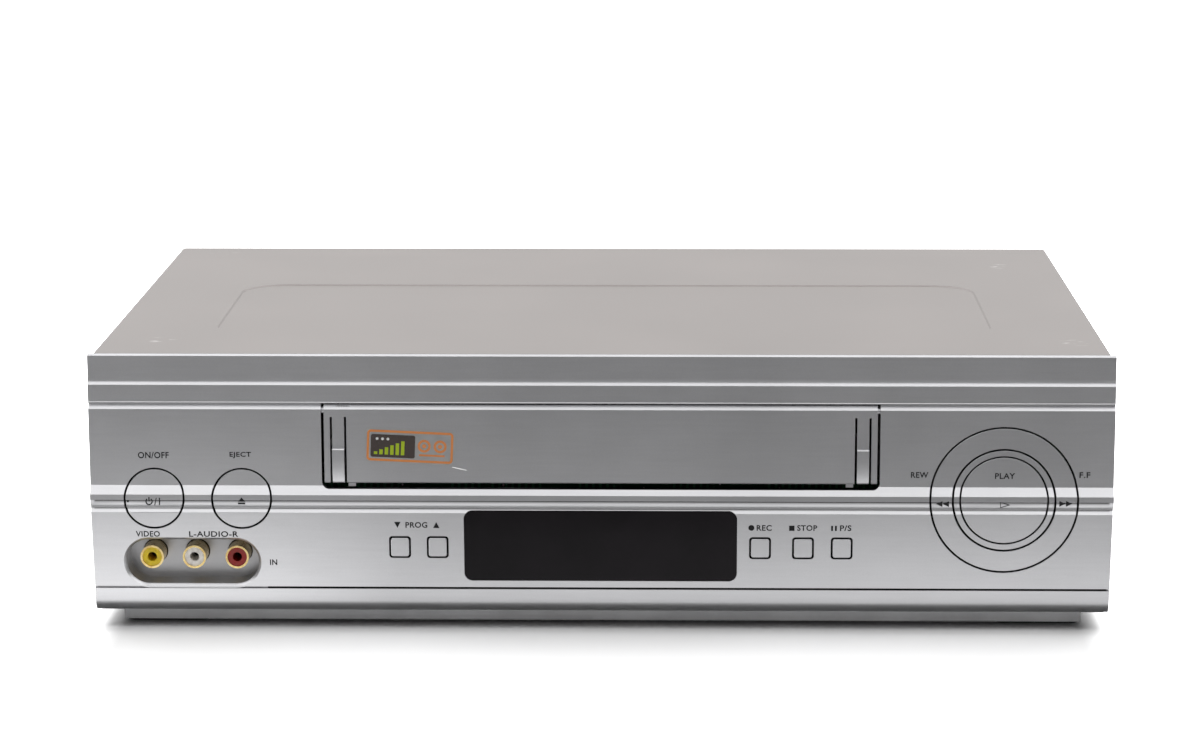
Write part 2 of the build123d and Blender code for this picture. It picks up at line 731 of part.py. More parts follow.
def shuttle_ring():
    """Rocking ring round the play button, with pivot pins above and below and two switch pins."""
    outer = RING_HOLE - BUTTON_GAP
    skirt_end = RING_COLLAR_END - ROCK_TRAVEL - CLEAR - 0.1
    solid = panel_plug(RING_X, outer, skirt_end)
    solid -= rod_y(RING_X, CONTROL_Z, RING_INNER, (-9, skirt_end + 1))
    solid -= tube_y(RING_X, CONTROL_Z, outer - 1.8, RING_INNER + 1.8, (PANEL_LAND, skirt_end + 1))
    reach = RING_HOLE + COLLAR - 0.3
    for side in (-1, 1):
        ends = sorted((CONTROL_Z + side * (outer - 1), CONTROL_Z + side * reach))
        solid += rod_z(RING_X, RING_PIVOT_Y, RING_PIN, ends)
        pin_end = push_reach(ROCK_TRAVEL) - 0.2
        solid += rod_y(RING_X + side * ROCK_PIN_X, CONTROL_Z, 1.4, (PANEL_LAND - 1, pin_end))
    return solid


def ring_trim():
    """Fixed ring between shuttle ring and play button, on a disc that closes the collar."""
    disc_start = RING_COLLAR_END + 0.1
    disc_end = disc_start + TRIM_DISC
    block = front_block(PANEL_LAND, (RING_X - TRIM_OUTER - 1, RING_X + TRIM_OUTER + 1))
    solid = block & rod_y(RING_X, CONTROL_Z, TRIM_OUTER, (-9, PANEL_LAND))
    solid += rod_y(RING_X, CONTROL_Z, TRIM_OUTER, (PANEL_LAND - 0.5, disc_end))
    solid += rod_y(RING_X, CONTROL_Z, RING_HOLE + COLLAR, (disc_start, disc_end))
    solid -= rod_y(RING_X, CONTROL_Z, TRIM_INNER, (-9, disc_end + 1))
    for side in (-1, 1):
        hole_x = RING_X + side * ROCK_PIN_X
        solid -= rod_y(hole_x, CONTROL_Z, 2.3, (disc_start - 1, disc_end + 1))
    return solid


def play_button():
    """Round button in the middle of the ring, held by a flange behind the trim's disc."""
    flange = RING_COLLAR_END + 0.1 + TRIM_DISC + CLEAR
    solid = panel_plug(RING_X, PLAY_RADIUS, flange)
    solid += rod_y(RING_X, CONTROL_Z, PLAY_RADIUS + 1.8, (flange, flange + 1.0))
    solid -= rod_y(RING_X, CONTROL_Z, PLAY_RADIUS - 2, (PANEL_LAND, flange + 2))
    return solid + rod_y(RING_X, CONTROL_Z, 3.0, (PANEL_LAND - 1, push_reach(TRAVEL)))


# ---------------------------------------------------------------- signal sockets at the front
def front_jack_shells():
    """Plated barrels of the three sockets."""
    back = FRONT_BOARD_Y - 2
    neck = POCKET_FLOOR - 0.2
    inner = JACK_BARREL - JACK_WALL
    shells = []
    for x in JACK_XS:
        shell = tube_y(x, JACK_Z, JACK_BARREL, inner, (JACK_FRONT, neck))
        shells.append(shell + tube_y(x, JACK_Z, JACK_BARREL - NECK, inner, (neck, back)))
    return group(shells)


def jack_inserts():
    """Coloured insulators with their contact bores and the socket bodies on the board."""
    body_start = POCKET_FLOOR + POCKET_WALL + CLEAR
    core = JACK_BARREL - JACK_WALL - 0.02
    pieces = []
    for x in JACK_XS:
        insert = rod_y(x, JACK_Z, core, (JACK_FRONT + 0.4, FRONT_BOARD_Y - 2.1))
        insert += box((x - 6, x + 6), (body_start, FRONT_BOARD_Y), (JACK_Z - 6.5, JACK_Z + 6.5))
        insert -= tube_y(x, JACK_Z, JACK_BARREL, core, (body_start - 1, FRONT_BOARD_Y - 2))
        insert -= rod_y(x, JACK_Z, JACK_BORE, (0, FRONT_BOARD_Y - 3))
        pieces.append(insert)
    return group(pieces)


# ---------------------------------------------------------------- board behind the panel
def front_board():
    """Upright board that carries the switches, the display and the front sockets."""
    half = COVER_SIDE - SHEET - 3
    low = CHASSIS_TOP + CLEAR
    back = FRONT_BOARD_Y + BOARD
    inner = min(x for x, z in PANEL_POSTS) - POST
    solid = box((-half, half), (FRONT_BOARD_Y, back), (low, BAY_FOOT - 0.6))
    solid += pair((inner, half), (FRONT_BOARD_Y, back), (low, CONTROL_Z + SWITCH_SIDE / 2 + 1))
    return solid


def switch(x, z):
    """Tact switch on the board's front face."""
    body = rounded(
        (x - SWITCH_SIDE / 2, x + SWITCH_SIDE / 2),
        (z - SWITCH_SIDE / 2, z + SWITCH_SIDE / 2),
        0.4,
        (SWITCH_TIP + 0.6, FRONT_BOARD_Y),
    )
    return body + rod_y(x, z, 1.6, (SWITCH_TIP, SWITCH_TIP + 1))


def tact_switches():
    """One switch behind each button, and one behind each pin of the ring."""
    round_ones = [switch(x, CONTROL_Z) for x in (STANDBY_X, EJECT_X, RING_X)]
    round_ones += [switch(RING_X + side * ROCK_PIN_X, CONTROL_Z) for side in (-1, 1)]
    return group(round_ones + [switch(x, SQUARE_Z) for x in SQUARE_BUTTONS.values()])


def display_tube():
    """Flat glass display tube with two feet on the board."""
    low = WINDOW_FOOT + 3
    high = WINDOW_TOP - 3
    half = WINDOW_HALF - 5
    glass = rounded((-half, half), (low, high), 1.0, (8.0, 14.0))
    return glass + pair((half - 8, half - 2), (13.5, FRONT_BOARD_Y), (low + 2, low + 8))


# ---------------------------------------------------------------- casing
def top_cover():
    """Folded steel sheet over the top and both sides, with a shallow pressed field on top."""
    length = (COVER_START, COVER_END)
    side = (-COVER_SIDE, COVER_SIDE)
    outer = box(side, length, (COVER_SKIRT, HEIGHT))
    bends = outer.edges().filter_by(Axis.Y).sort_by(Axis.Z)[-2:]
    outer = fillet(bends, COVER_BEND)
    inside = (-COVER_SIDE + SHEET, COVER_SIDE - SHEET)
    inner = box(inside, (length[0] - 1, length[1] + 1), (0, HEIGHT - SHEET))
    bends = inner.edges().filter_by(Axis.Y).sort_by(Axis.Z)[-2:]
    inner = fillet(bends, COVER_BEND - SHEET)
    solid = outer - inner
    for y in SIDE_SCREW_YS:
        solid -= rod_x(y, SIDE_SCREW_Z, SCREW + 0.2, (-WIDTH, WIDTH))
    sink = EMBOSS_RISE
    solid -= pressed_field(HEIGHT - sink, HEIGHT + 1, 0)
    return solid + pressed_field(HEIGHT - SHEET - sink, HEIGHT - sink, SHEET)


def pressed_field(low, high, margin):
    """Block as large as the field pressed into the cover's top, grown by a margin."""
    sketch = RectangleRounded(
        EMBOSS_WIDTH + 2 * margin, EMBOSS_DEPTH + 2 * margin, EMBOSS_CORNER + margin
    )
    return extrude(Pos(0, EMBOSS_Y, low) * sketch, high - low)


def chassis_frame():
    """Moulded tray: floor, low walls, rails under the cover's sides, board posts, deck posts."""
    floor_top = CHASSIS_FOOT + CHASSIS_FLOOR
    half = CHASSIS_HALF
    solid = box((-half, half), (CHASSIS_FRONT, CHASSIS_END), (CHASSIS_FOOT, CHASSIS_TOP))
    solid -= box(
        (-half + CHASSIS_WALL, half - CHASSIS_WALL),
        (CHASSIS_FRONT + CHASSIS_WALL, CHASSIS_END - CHASSIS_WALL),
        (floor_top, CHASSIS_TOP + 1),
    )
    rail = COVER_SIDE - SHEET - CLEAR
    solid += pair((half - 1, rail), (RAIL_START, CHASSIS_END), (RAIL_Z, RAIL_Z + RAIL_THICK))
    for y in SIDE_SCREW_YS:
        solid += pair((half - CHASSIS_WALL, rail), (y - 5, y + 5), (RAIL_Z, SIDE_SCREW_Z + 5))
        solid -= rod_x(y, SIDE_SCREW_Z, SCREW, (half - 1, rail + 1))
        solid -= rod_x(y, SIDE_SCREW_Z, SCREW, (-rail - 1, -half + 1))
    hatch_end = HATCH_START + HATCH_LENGTH
    window = HATCH_HALF - HATCH_REBATE
    solid -= box(
        (-window, window),
        (HATCH_START + HATCH_REBATE, hatch_end - HATCH_REBATE),
        (0, floor_top + 1),
    )
    rebate = (CHASSIS_FOOT - 1, CHASSIS_FOOT + SHEET)
    solid -= box((-HATCH_HALF, HATCH_HALF), (HATCH_START, hatch_end), rebate)
    for x, y in board_posts():
        solid += rod_z(x, y, 3.5, (floor_top - 1, BOARD_Z))
        solid -= rod_z(x, y, SCREW, (floor_top, BOARD_Z + 1))
    for x, y in DECK_POSTS:
        for side in (-1, 1):
            solid += rod_z(side * x, y, 4.0, (floor_top - 1, DECK_Z))
            solid -= rod_z(side * x, y, SCREW, (floor_top, DECK_Z + 1))
    for x in REAR_SCREW_XS:
        solid += box((x - 5, x + 5), (CHASSIS_END - 9, CHASSIS_END), (floor_top - 1, CHASSIS_TOP))
        solid -= rod_y(x, REAR_SCREW_Z, SCREW, (CHASSIS_END - 8, CHASSIS_END + 1))
    for x, y in foot_places():
        solid -= rod_z(x, y, 2.0, (0, floor_top + 1))
    return solid


def board_posts():
    """Posts under the main board, clear of the hatch in the floor."""
    outer = (BOARD_HALF + HATCH_HALF) / 2 + 4
    front = BOARD_START + 4.5
    back = BOARD_END - 5
    return [(x, y) for x in (-outer, outer) for y in (front, back)] + [(0, back)]


def foot_places():
    """Centres of the four feet."""
    x = CHASSIS_HALF - FOOT_WIDTH / 2
    front = CHASSIS_FRONT + FOOT_LENGTH / 2 + 4
    back = CHASSIS_END - FOOT_LENGTH / 2 - 8
    return [(side * x, y) for side in (-1, 1) for y in (front, back)]


def rubber_feet():
    """Four pads, each with a peg in the chassis floor."""
    feet = []
    for x, y in foot_places():
        half = FOOT_WIDTH / 2
        pad = box(
            (x - half, x + half), (y - FOOT_LENGTH / 2, y + FOOT_LENGTH / 2), (0, CHASSIS_FOOT)
        )
        pad = fillet(pad.edges().filter_by(Axis.Z), 3.0)
        feet.append(pad + rod_z(x, y, 1.95, (0.5, CHASSIS_FOOT + CHASSIS_FLOOR - 0.2)))
    return group(feet)


def bottom_cover():
    """Steel hatch let into the underside, with rows of air slots."""
    edge = 0.2
    low = CHASSIS_FOOT
    solid = box(
        (-HATCH_HALF + edge, HATCH_HALF - edge),
        (HATCH_START + edge, HATCH_START + HATCH_LENGTH - edge),
        (low, low + SHEET - 0.02),
    )
    slot = SlotOverall(16, 2.4)
    rows = (HATCH_START + 24, HATCH_START + HATCH_LENGTH - 24)
    places = [(x, y) for y in rows for x in range(-100, 101, 25)]
    slots = extrude(Sketch(children=[Pos(x, y) * slot for x, y in places]), CHASSIS_TOP)
    return solid - slots


def rear_panel():
    """Rear plate with holes for the sockets and a field of air slots."""
    side = COVER_SIDE - SHEET - CLEAR
    low = COVER_SKIRT + 0.4
    high = HEIGHT - SHEET - CLEAR
    y = (REAR_Y - REAR_PLATE, REAR_Y)
    deep = (y[0] - 1, y[1] + 1)
    solid = rounded((-side, side), (low, high), INNER_BEND, y)
    gap = 0.2
    cutouts = [(INLET_X, INLET_HALF, INLET_Z)] + [(x, SCART_HALF, SCART_Z) for x in SCART_XS]
    for x, half, z in cutouts:
        solid -= rounded((x - half - gap, x + half + gap), (z[0] - gap, z[1] + gap), 2.0, deep)
    solid -= [rod_y(x, AERIAL_Z, AERIAL_RADIUS + CLEAR, deep) for x in AERIAL_XS]
    solid -= [rod_y(x, REAR_JACK_Z, JACK_BARREL + CLEAR, deep) for x in REAR_JACK_XS]
    solid -= [rod_y(x, REAR_SCREW_Z, SCREW + 0.2, deep) for x in REAR_SCREW_XS]
    slot = SlotOverall(22, 2.6)
    for row in range(VENT_ROWS):
        for column in range(VENT_COLUMNS):
            x = VENT_START[0] + column * VENT_STEP[0]
            solid -= facing(slot, x, VENT_START[1] + row * VENT_STEP[1], deep)
    return solid


def screw(radius, head, length):
    """Pan head screw along Z, head up, seated at z = 0."""
    height = 0.55 * head
    dome = Pos(0, 0, height / 2) * Cylinder(head, height)
    dome = fillet(dome.edges().filter_by(GeomType.CIRCLE).sort_by(Axis.Z)[-1], 0.4 * height)
    slot_size = 1.3 * head
    cross = Pos(0, 0, height) * (Box(slot_size, 0.6, height) + Box(0.6, slot_size, height))
    return dome - cross + Pos(0, 0, -length / 2) * Cylinder(radius, length)


def screws():
    """Screws of the cover's sides, the rear panel and the deck."""
    radius = SCREW - 0.05
    flat = screw(radius, 1.7, 6)
    pieces = []
    for y in SIDE_SCREW_YS:
        pieces.append(Pos(COVER_SIDE, y, SIDE_SCREW_Z) * Rot(0, 90, 0) * flat)
        pieces.append(Pos(-COVER_SIDE, y, SIDE_SCREW_Z) * Rot(0, -90, 0) * flat)
    big = screw(radius, SCREW_HEAD, 7)
    pieces += [Pos(x, REAR_Y, REAR_SCREW_Z) * Rot(-90, 0, 0) * big for x in REAR_SCREW_XS]
    for x, y in DECK_POSTS:
        pieces += [Pos(side * x, y, DECK_TOP) * big for side in (-1, 1)]
    return group(pieces)


# ---------------------------------------------------------------- rear sockets
def mains_inlet():
    """Two pin mains inlet on the main board, reaching through the rear panel."""
    front = REAR_Y - INLET_DEPTH - 6
    outer = (INLET_X - INLET_HALF, INLET_X + INLET_HALF)
    centre = (INLET_Z[0] + INLET_Z[1]) / 2
    housing = rounded(outer, INLET_Z, 1.8, (front, REAR_Y + 0.6))
    housing += box(outer, (front, CHASSIS_END - 3), (BOARD_TOP, INLET_Z[0] + 2))
    mouth = SlotOverall(15.4, 8.6)
    housing -= facing(mouth, INLET_X, centre, (REAR_Y - INLET_DEPTH + 4, REAR_Y + 2))
    pins = []
    for x in (INLET_X - INLET_PIN_X, INLET_X + INLET_PIN_X):
        housing -= rod_y(x, centre, INLET_PIN + 0.02, (front + 1, REAR_Y))
        pins.append(rod_y(x, centre, INLET_PIN, (front + 1, REAR_Y - 2.5)))
    return group([housing] + pins)


def scart_sockets():
    """Two wide audio and video sockets side by side on the main board."""
    pieces = []
    front = DECK_END + 1
    for x in SCART_XS:
        span = (x - SCART_HALF, x + SCART_HALF)
        body = rounded(span, SCART_Z, 1.8, (front, REAR_Y + 0.8))
        body += box(span, (front, CHASSIS_END - 3), (BOARD_TOP, SCART_Z[0] + 2))
        outline = [(-22.5, -6.4), (22.5, -6.4), (22.5, 3.6), (19.7, 6.4), (-22.5, 6.4)]
        middle = (SCART_Z[0] + SCART_Z[1]) / 2
        slot = make_face(Polyline(*outline, close=True))
        tongue = Rectangle(40, 5.4)
        mouth = (REAR_Y + 0.8 - SCART_DEPTH, REAR_Y + 2)
        body -= facing(slot, x, middle, mouth)
        body += facing(tongue, x, middle, (mouth[0] - 1, REAR_Y - 1))
        contacts = [Pos(-18 + 3.6 * n, 1.4) * Rectangle(1.2, 1.4) for n in range(11)]
        contacts += [Pos(-16.2 + 3.6 * n, -1.4) * Rectangle(1.2, 1.4) for n in range(10)]
        body -= facing(Sketch(children=contacts), x, middle, (REAR_Y - 8, REAR_Y))
        pieces.append(body)
    return group(pieces)


def tuner_can():
    """Screened tuner and modulator box on the main board."""
    back = REAR_Y - REAR_PLATE - CLEAR
    front = back - TUNER_LENGTH
    foot = CHASSIS_TOP + CLEAR
    solid = box(TUNER_X, (front, back), (foot, AERIAL_Z + 18))
    solid += box(TUNER_X, (front, BOARD_END - 1), (BOARD_TOP, foot + 1))
    lid = [Pos(x, 0) * SlotOverall(7, 1.6, rotation=90) for x in range(-16, 17, 8)]
    middle = (TUNER_X[0] + TUNER_X[1]) / 2
    grooves = extrude(
        Plane(origin=(middle, (front + back) / 2, AERIAL_Z + 17)) * Sketch(children=lid), 2
    )
    return solid - grooves


def rf_sockets():
    """Aerial input and output: plated coaxial sockets in the rear panel."""
    start = REAR_Y - REAR_PLATE - CLEAR
    pieces = []
    for x in AERIAL_XS:
        free = REAR_Y + CLEAR
        barrel = tube_y(x, AERIAL_Z, AERIAL_RADIUS, AERIAL_RADIUS - 0.7, (free, REACH))
        barrel += rod_y(x, AERIAL_Z, AERIAL_RADIUS - NECK, (start, free + 0.6))
        barrel += rod_y(x, AERIAL_Z, 1.2, (start, REACH - 1.5))
        pieces.append(barrel)
    return group(pieces)


def rear_audio_jacks():
    """Two sound sockets on the main board."""
    pieces = []
    reach = REACH - 1.5
    for x in REAR_JACK_XS:
        span = (x - REAR_JACK_HALF, x + REAR_JACK_HALF)
        top = REAR_JACK_Z + REAR_JACK_HALF
        body = box(span, (DECK_END + 1, CHASSIS_END), (CHASSIS_TOP + CLEAR, top))
        body += box(span, (DECK_END + 1, BOARD_END), (BOARD_TOP, CHASSIS_TOP + 1))
        body += rod_y(x, REAR_JACK_Z, JACK_BARREL - NECK, (CHASSIS_END - 2, REAR_Y + 0.5))
        body += rod_y(x, REAR_JACK_Z, JACK_BARREL, (REAR_Y + CLEAR, reach))
        groove = (reach - 0.6, reach + 1)
        body -= tube_y(x, REAR_JACK_Z, JACK_BARREL - JACK_WALL, JACK_BORE + 1, groove)
        body -= rod_y(x, REAR_JACK_Z, JACK_BORE, (REAR_Y - 10, reach + 1))
        pieces.append(body)
    return group(pieces)


# ---------------------------------------------------------------- main board and what it carries
def main_board():
    """Large board across the bottom, with holes where the deck's posts pass."""
    solid = box((-BOARD_HALF, BOARD_HALF), (BOARD_START, BOARD_END), (BOARD_Z, BOARD_TOP))
    for x, y in DECK_POSTS:
        for side in (-1, 1):
            solid -= rod_z(side * x, y, 4.0 + CLEAR, (0, BOARD_TOP + 1))
    return solid


def power_transformer():
    """Laminated core with a wound bobbin, on the board by the mains inlet."""
    x = (-BOARD_HALF + 4, -BOARD_HALF + 4 + CORE_WIDTH)
    y = (REAR_Y - INLET_DEPTH - 60, REAR_Y - INLET_DEPTH - 18)
    core = box(x, (y[0] + 8, y[1] - 8), (BOARD_TOP, BOARD_TOP + CORE_HEIGHT))
    core = fillet(core.edges().filter_by(Axis.Z), 1.0)
    coil = box((x[0] + 7, x[1] - 7), y, (BOARD_TOP + 6, BOARD_TOP + CORE_HEIGHT - 6))
    return core + fillet(coil.edges().filter_by(Axis.X), 5.0)


def capacitors():
    """Can capacitors of the power supply."""
    cans = []
    for inset, y, radius, height in CANS:
        can = rod_z(-BOARD_HALF + inset, y, radius, (BOARD_TOP, BOARD_TOP + height))
        can = fillet(can.edges().filter_by(GeomType.CIRCLE), 0.8)
        cans.append(can)
    return group(cans)


def heat_sink():
    """Finned aluminium sink for the regulators."""
    left = BOARD_HALF - 7 - SINK_WIDTH
    top = BOARD_TOP + SINK_HEIGHT
    solid = box((left, left + SINK_WIDTH), (70, 73), (BOARD_TOP, top))
    step = (SINK_WIDTH - SINK_PLATE) / (SINK_FINS - 1)
    for n in range(SINK_FINS):
        start = left + n * step
        solid += box((start, start + SINK_PLATE), (72, 88), (BOARD_TOP + 3, top))
    return solid


def ribbon_cable():
    """Flat cable from the front board down to the main board, with its two plugs."""
    back = FRONT_BOARD_Y + BOARD
    high = 27.0
    thick = 0.8
    bend = 3.0
    drop = back + 16
    far = drop + 12
    low = BOARD_TOP + 5
    line = FilletPolyline((back + 3, high), (drop, high), (drop, low), (far, low), radius=bend)
    side = Plane(origin=(RIBBON_X, 0, 0), x_dir=(0, 1, 0), z_dir=(1, 0, 0))
    strip = extrude(side * trace(line, thick), RIBBON_WIDTH)
    plug = (RIBBON_X - 2, RIBBON_X + RIBBON_WIDTH + 2)
    upper = box(plug, (back, back + 4), (high - 3, high + 3))
    lower = box(plug, (far - 1, far + 5), (BOARD_TOP, low + 3))
    return strip + upper + lower


# ---------------------------------------------------------------- tape deck: plate and studs
def about_drum(x, y, angle):
    """Turn a point about the drum's upright axis, by an angle in degrees."""
    turn = math.radians(angle)
    dx = x
    dy = y - DRUM_Y
    return (
        dx * math.cos(turn) - dy * math.sin(turn),
        DRUM_Y + dx * math.sin(turn) + dy * math.cos(turn),
    )


def guide_place(side):
    """Where a tape guide rests, left (-1) or right (1) of the middle."""
    return about_drum(0, DRUM_Y - GUIDE_RADIUS, side * GUIDE_REST)


def guide_slot(side):
    """Arc slot in the deck that a tape guide runs in."""
    half = GUIDE_PIN + CLEAR
    first = GUIDE_REST - 3
    last = GUIDE_REST + GUIDE_SWEEP + 3
    outer = Pos(0, DRUM_Y, DECK_Z - 1) * extrude(
        Circle(GUIDE_RADIUS + half) - Circle(GUIDE_RADIUS - half), DECK + 2
    )
    far = 2 * GUIDE_RADIUS
    steps = [first + (last - first) * n / 4 for n in range(5)]
    rim = [about_drum(0, DRUM_Y - far, side * angle) for angle in steps]
    wedge = make_face(Polyline((0, DRUM_Y), *rim, close=True))
    return outer & extrude(Pos(0, 0, DECK_Z - 1) * wedge, DECK + 2)


def deck_studs():
    """Studs on the deck that carry the turning pieces: (x, y, radius, top)."""
    cam_top = WHEEL_BOTTOM + CAM_THICK + 0.3
    return [
        (REEL_X, REEL_Y, STUD, SPINDLE_TOP - 3),
        (-REEL_X, REEL_Y, STUD, SPINDLE_TOP - 3),
        (*PINCH_PIVOT, STUD, DECK_TOP + 16),
        (*TENSION_PIVOT, 2.0, DECK_TOP + 9),
        (*CAM_AT, STUD, cam_top),
    ]


def deck_plate():
    """Steel deck with arc slots for the guides, and with the studs of the turning pieces."""
    level = (DECK_Z, DECK_TOP)
    solid = box((-DECK_HALF, DECK_HALF), (DECK_START, DECK_END), level)
    solid += box((TAB_EDGE, -DECK_HALF + 1), TAB_Y, level)
    deep = (DECK_Z - 1, DECK_TOP + 1)
    solid -= [guide_slot(side) for side in (-1, 1)]
    solid -= rod_z(CAPSTAN_X, CAPSTAN_Y, CAPSTAN_BEARING + CLEAR, deep)
    solid -= rod_z(0, CLUTCH_Y, CAPSTAN_SHAFT + FIT, deep)
    for x, y in DECK_POSTS:
        solid -= [rod_z(side * x, y, SCREW + 0.1, deep) for side in (-1, 1)]
    for x, y, radius, top in deck_studs():
        solid += rod_z(x, y, radius, (DECK_Z, top))
        solid += rod_z(x, y, radius + 1.2, (DECK_Z, DECK_TOP + WASHER - 0.1))
    solid -= pair((70, 84), (52, 84), deep)
    return solid


# ---------------------------------------------------------------- drum
def tilted(shape):
    """Stand a piece drawn on the drum's own axis in its tilted place."""
    return Pos(0, DRUM_Y, DRUM_SEAT) * Rot(DRUM_TILT, 0, 0) * shape


def drum_base():
    """Cast seat that holds the drum at its tilt."""
    seat = tilted(Pos(0, 0, -4.5) * Cylinder(DRUM_RADIUS + 1.5, 9))
    trimmed = seat & box((-40, 40), (DRUM_Y - 40, DRUM_Y + 40), (DECK_TOP, DRUM_SEAT + 20))
    return trimmed + rod_z(0, DRUM_Y, DRUM_RADIUS + 4, (DECK_TOP, DECK_TOP + 1.2))


def lower_drum():
    """Fixed lower drum with the step that the tape's edge runs on."""
    solid = Pos(0, 0, LOWER_DRUM / 2) * Cylinder(DRUM_RADIUS, LOWER_DRUM)
    step = 6.0
    outer = DRUM_RADIUS + 1
    solid -= Pos(0, 0, step) * extrude(Circle(outer) - Circle(DRUM_RADIUS - 0.6), LOWER_DRUM)
    solid -= Pos(0, 0, 4) * extrude(Circle(DRUM_SHAFT + FIT), LOWER_DRUM)
    return tilted(solid)


def upper_drum():
    """Spinning upper drum with its shaft, four head windows and balance holes."""
    start = LOWER_DRUM + CLEAR
    solid = Pos(0, 0, start + UPPER_DRUM / 2) * Cylinder(DRUM_RADIUS - 0.6, UPPER_DRUM)
    rim = solid.edges().filter_by(GeomType.CIRCLE).sort_by(Axis.Z)[-1]
    solid = chamfer(rim, 1.0)
    dish = start + UPPER_DRUM - 5
    solid -= Pos(0, 0, dish) * extrude(Circle(DRUM_RADIUS - 4) - Circle(9), 6)
    for n in range(4):
        window = Pos(DRUM_RADIUS - 2.6, 0, start + 1.2) * Box(5, 5, 2.4)
        tip = Pos(DRUM_RADIUS - 2.6, 0, start + 1.2) * Box(3.6, 1.4, 2.5)
        solid = solid - Rot(0, 0, 90 * n + 45) * window + Rot(0, 0, 90 * n + 45) * tip
        solid -= Rot(0, 0, 90 * n) * Pos(18, 0, dish - 3) * Cylinder(2.2, 8)
    solid += Pos(0, 0, start / 2 + 3) * Cylinder(DRUM_SHAFT, start - 5)
    return tilted(solid)


# ---------------------------------------------------------------- capstan, clutch and idler
def capstan_motor():
    """Stator plate under the deck with the capstan's long bearing through the deck."""
    low = DECK_Z - STATOR
    solid = rod_z(CAPSTAN_X, CAPSTAN_Y, FLYWHEEL - 1, (low, DECK_Z - CLEAR))
    solid += rod_z(CAPSTAN_X, CAPSTAN_Y, CAPSTAN_BEARING, (low, DECK_TOP + 10))
    return solid - rod_z(CAPSTAN_X, CAPSTAN_Y, CAPSTAN_SHAFT + FIT, (0, DECK_TOP + 11))


def capstan_flywheel():
    """Capstan shaft with its flywheel and belt pulley."""
    top = DECK_Z - STATOR - CLEAR
    middle = BELT_Z + BELT_WIDTH + 0.6
    solid = rod_z(CAPSTAN_X, CAPSTAN_Y, FLYWHEEL, (middle, top))
    groove = FLYWHEEL - 3
    solid -= tube_z(CAPSTAN_X, CAPSTAN_Y, groove, CAPSTAN_PULLEY + 1, (middle - 1, middle + 1.2))
    solid += pulley(CAPSTAN_X, CAPSTAN_Y, CAPSTAN_PULLEY, middle + 0.1)
    return solid + rod_z(CAPSTAN_X, CAPSTAN_Y, CAPSTAN_SHAFT, (BELT_Z - 1, DECK_TOP + 29))


def pulley(x, y, radius, top):
    """Flat belt pulley with a flange below and, up to top, above the belt."""
    flange = 0.6
    solid = rod_z(x, y, radius, (BELT_Z - flange, top))
    solid += rod_z(x, y, radius + 1.2, (BELT_Z - flange, BELT_Z - 0.1))
    return solid + rod_z(x, y, radius + 1.2, (BELT_Z + BELT_WIDTH + 0.1, top))


def clutch_pulley():
    """Clutch: pulley below the deck, shaft through it and friction wheel above it."""
    top = WHEEL_BOTTOM + CAM_THICK
    solid = pulley(0, CLUTCH_Y, CLUTCH_PULLEY, BELT_Z + BELT_WIDTH + 0.7)
    solid += rod_z(0, CLUTCH_Y, CAPSTAN_SHAFT, (BELT_Z - 0.6, top + 1.5))
    return solid + rod_z(0, CLUTCH_Y, CLUTCH_WHEEL, (WHEEL_BOTTOM, top))


def drive_belt():
    """Flat rubber belt round the capstan's pulley and the clutch."""
    ease = 0.12
    level = (BELT_Z, BELT_Z + BELT_WIDTH)
    return belt_block(ease + BELT, level) - belt_block(ease, (BELT_Z - 1, BELT_Z + 2 * BELT_WIDTH))


def belt_block(margin, z):
    """Block as wide as the belt's loop, grown by a margin over both pulleys."""
    first = Vector(CAPSTAN_X, CAPSTAN_Y)
    second = Vector(0, CLUTCH_Y)
    near = CAPSTAN_PULLEY + margin
    far = CLUTCH_PULLEY + margin
    along = second - first
    lean = math.degrees(math.asin((far - near) / along.length))
    left = along.normalized().rotate(Axis.Z, 90 + lean)
    right = along.normalized().rotate(Axis.Z, -90 - lean)
    corners = [first + left * near, second + left * far, second + right * far, first + right * near]
    middle = make_face(Polyline(*[(p.X, p.Y) for p in corners], close=True))
    solid = extrude(Pos(0, 0, z[0]) * middle, z[1] - z[0])
    solid += rod_z(first.X, first.Y, near, z)
    return solid + rod_z(second.X, second.Y, far, z)


def idler_centre():
    """The idler rests straight in front of the clutch, between the reels."""
    return (0, CLUTCH_Y - CLUTCH_WHEEL - IDLER_WHEEL - IDLER_GAP)


def idler_arm():
    """Thin arm that swings about the clutch and carries the idler on a pin."""
    low = WHEEL_BOTTOM + CAM_THICK + 0.2
    x, y = idler_centre()
    plate = box((-3, 3), (y, CLUTCH_Y), (low, low + 1))
    plate += rod_z(0, CLUTCH_Y, 5, (low, low + 1))
    plate += rod_z(x, y, 4, (low, low + 1))
    plate += rod_z(x, y, 1.5, (WHEEL_BOTTOM - 0.3, low + 0.5))
    return plate - rod_z(0, CLUTCH_Y, CAPSTAN_SHAFT + FIT, (low - 1, low + 2))


def idler_wheel():
    """Rubber tyred wheel that drives one reel or the other."""
    x, y = idler_centre()
    level = (WHEEL_BOTTOM + 0.1, WHEEL_BOTTOM + CAM_THICK - 0.1)
    solid = rod_z(x, y, IDLER_WHEEL, level)
    solid -= tube_z(x, y, IDLER_WHEEL - 2.5, 4, (level[1] - 0.8, level[1] + 1))
    return solid - rod_z(x, y, 1.5 + FIT, (0, level[1] + 1))


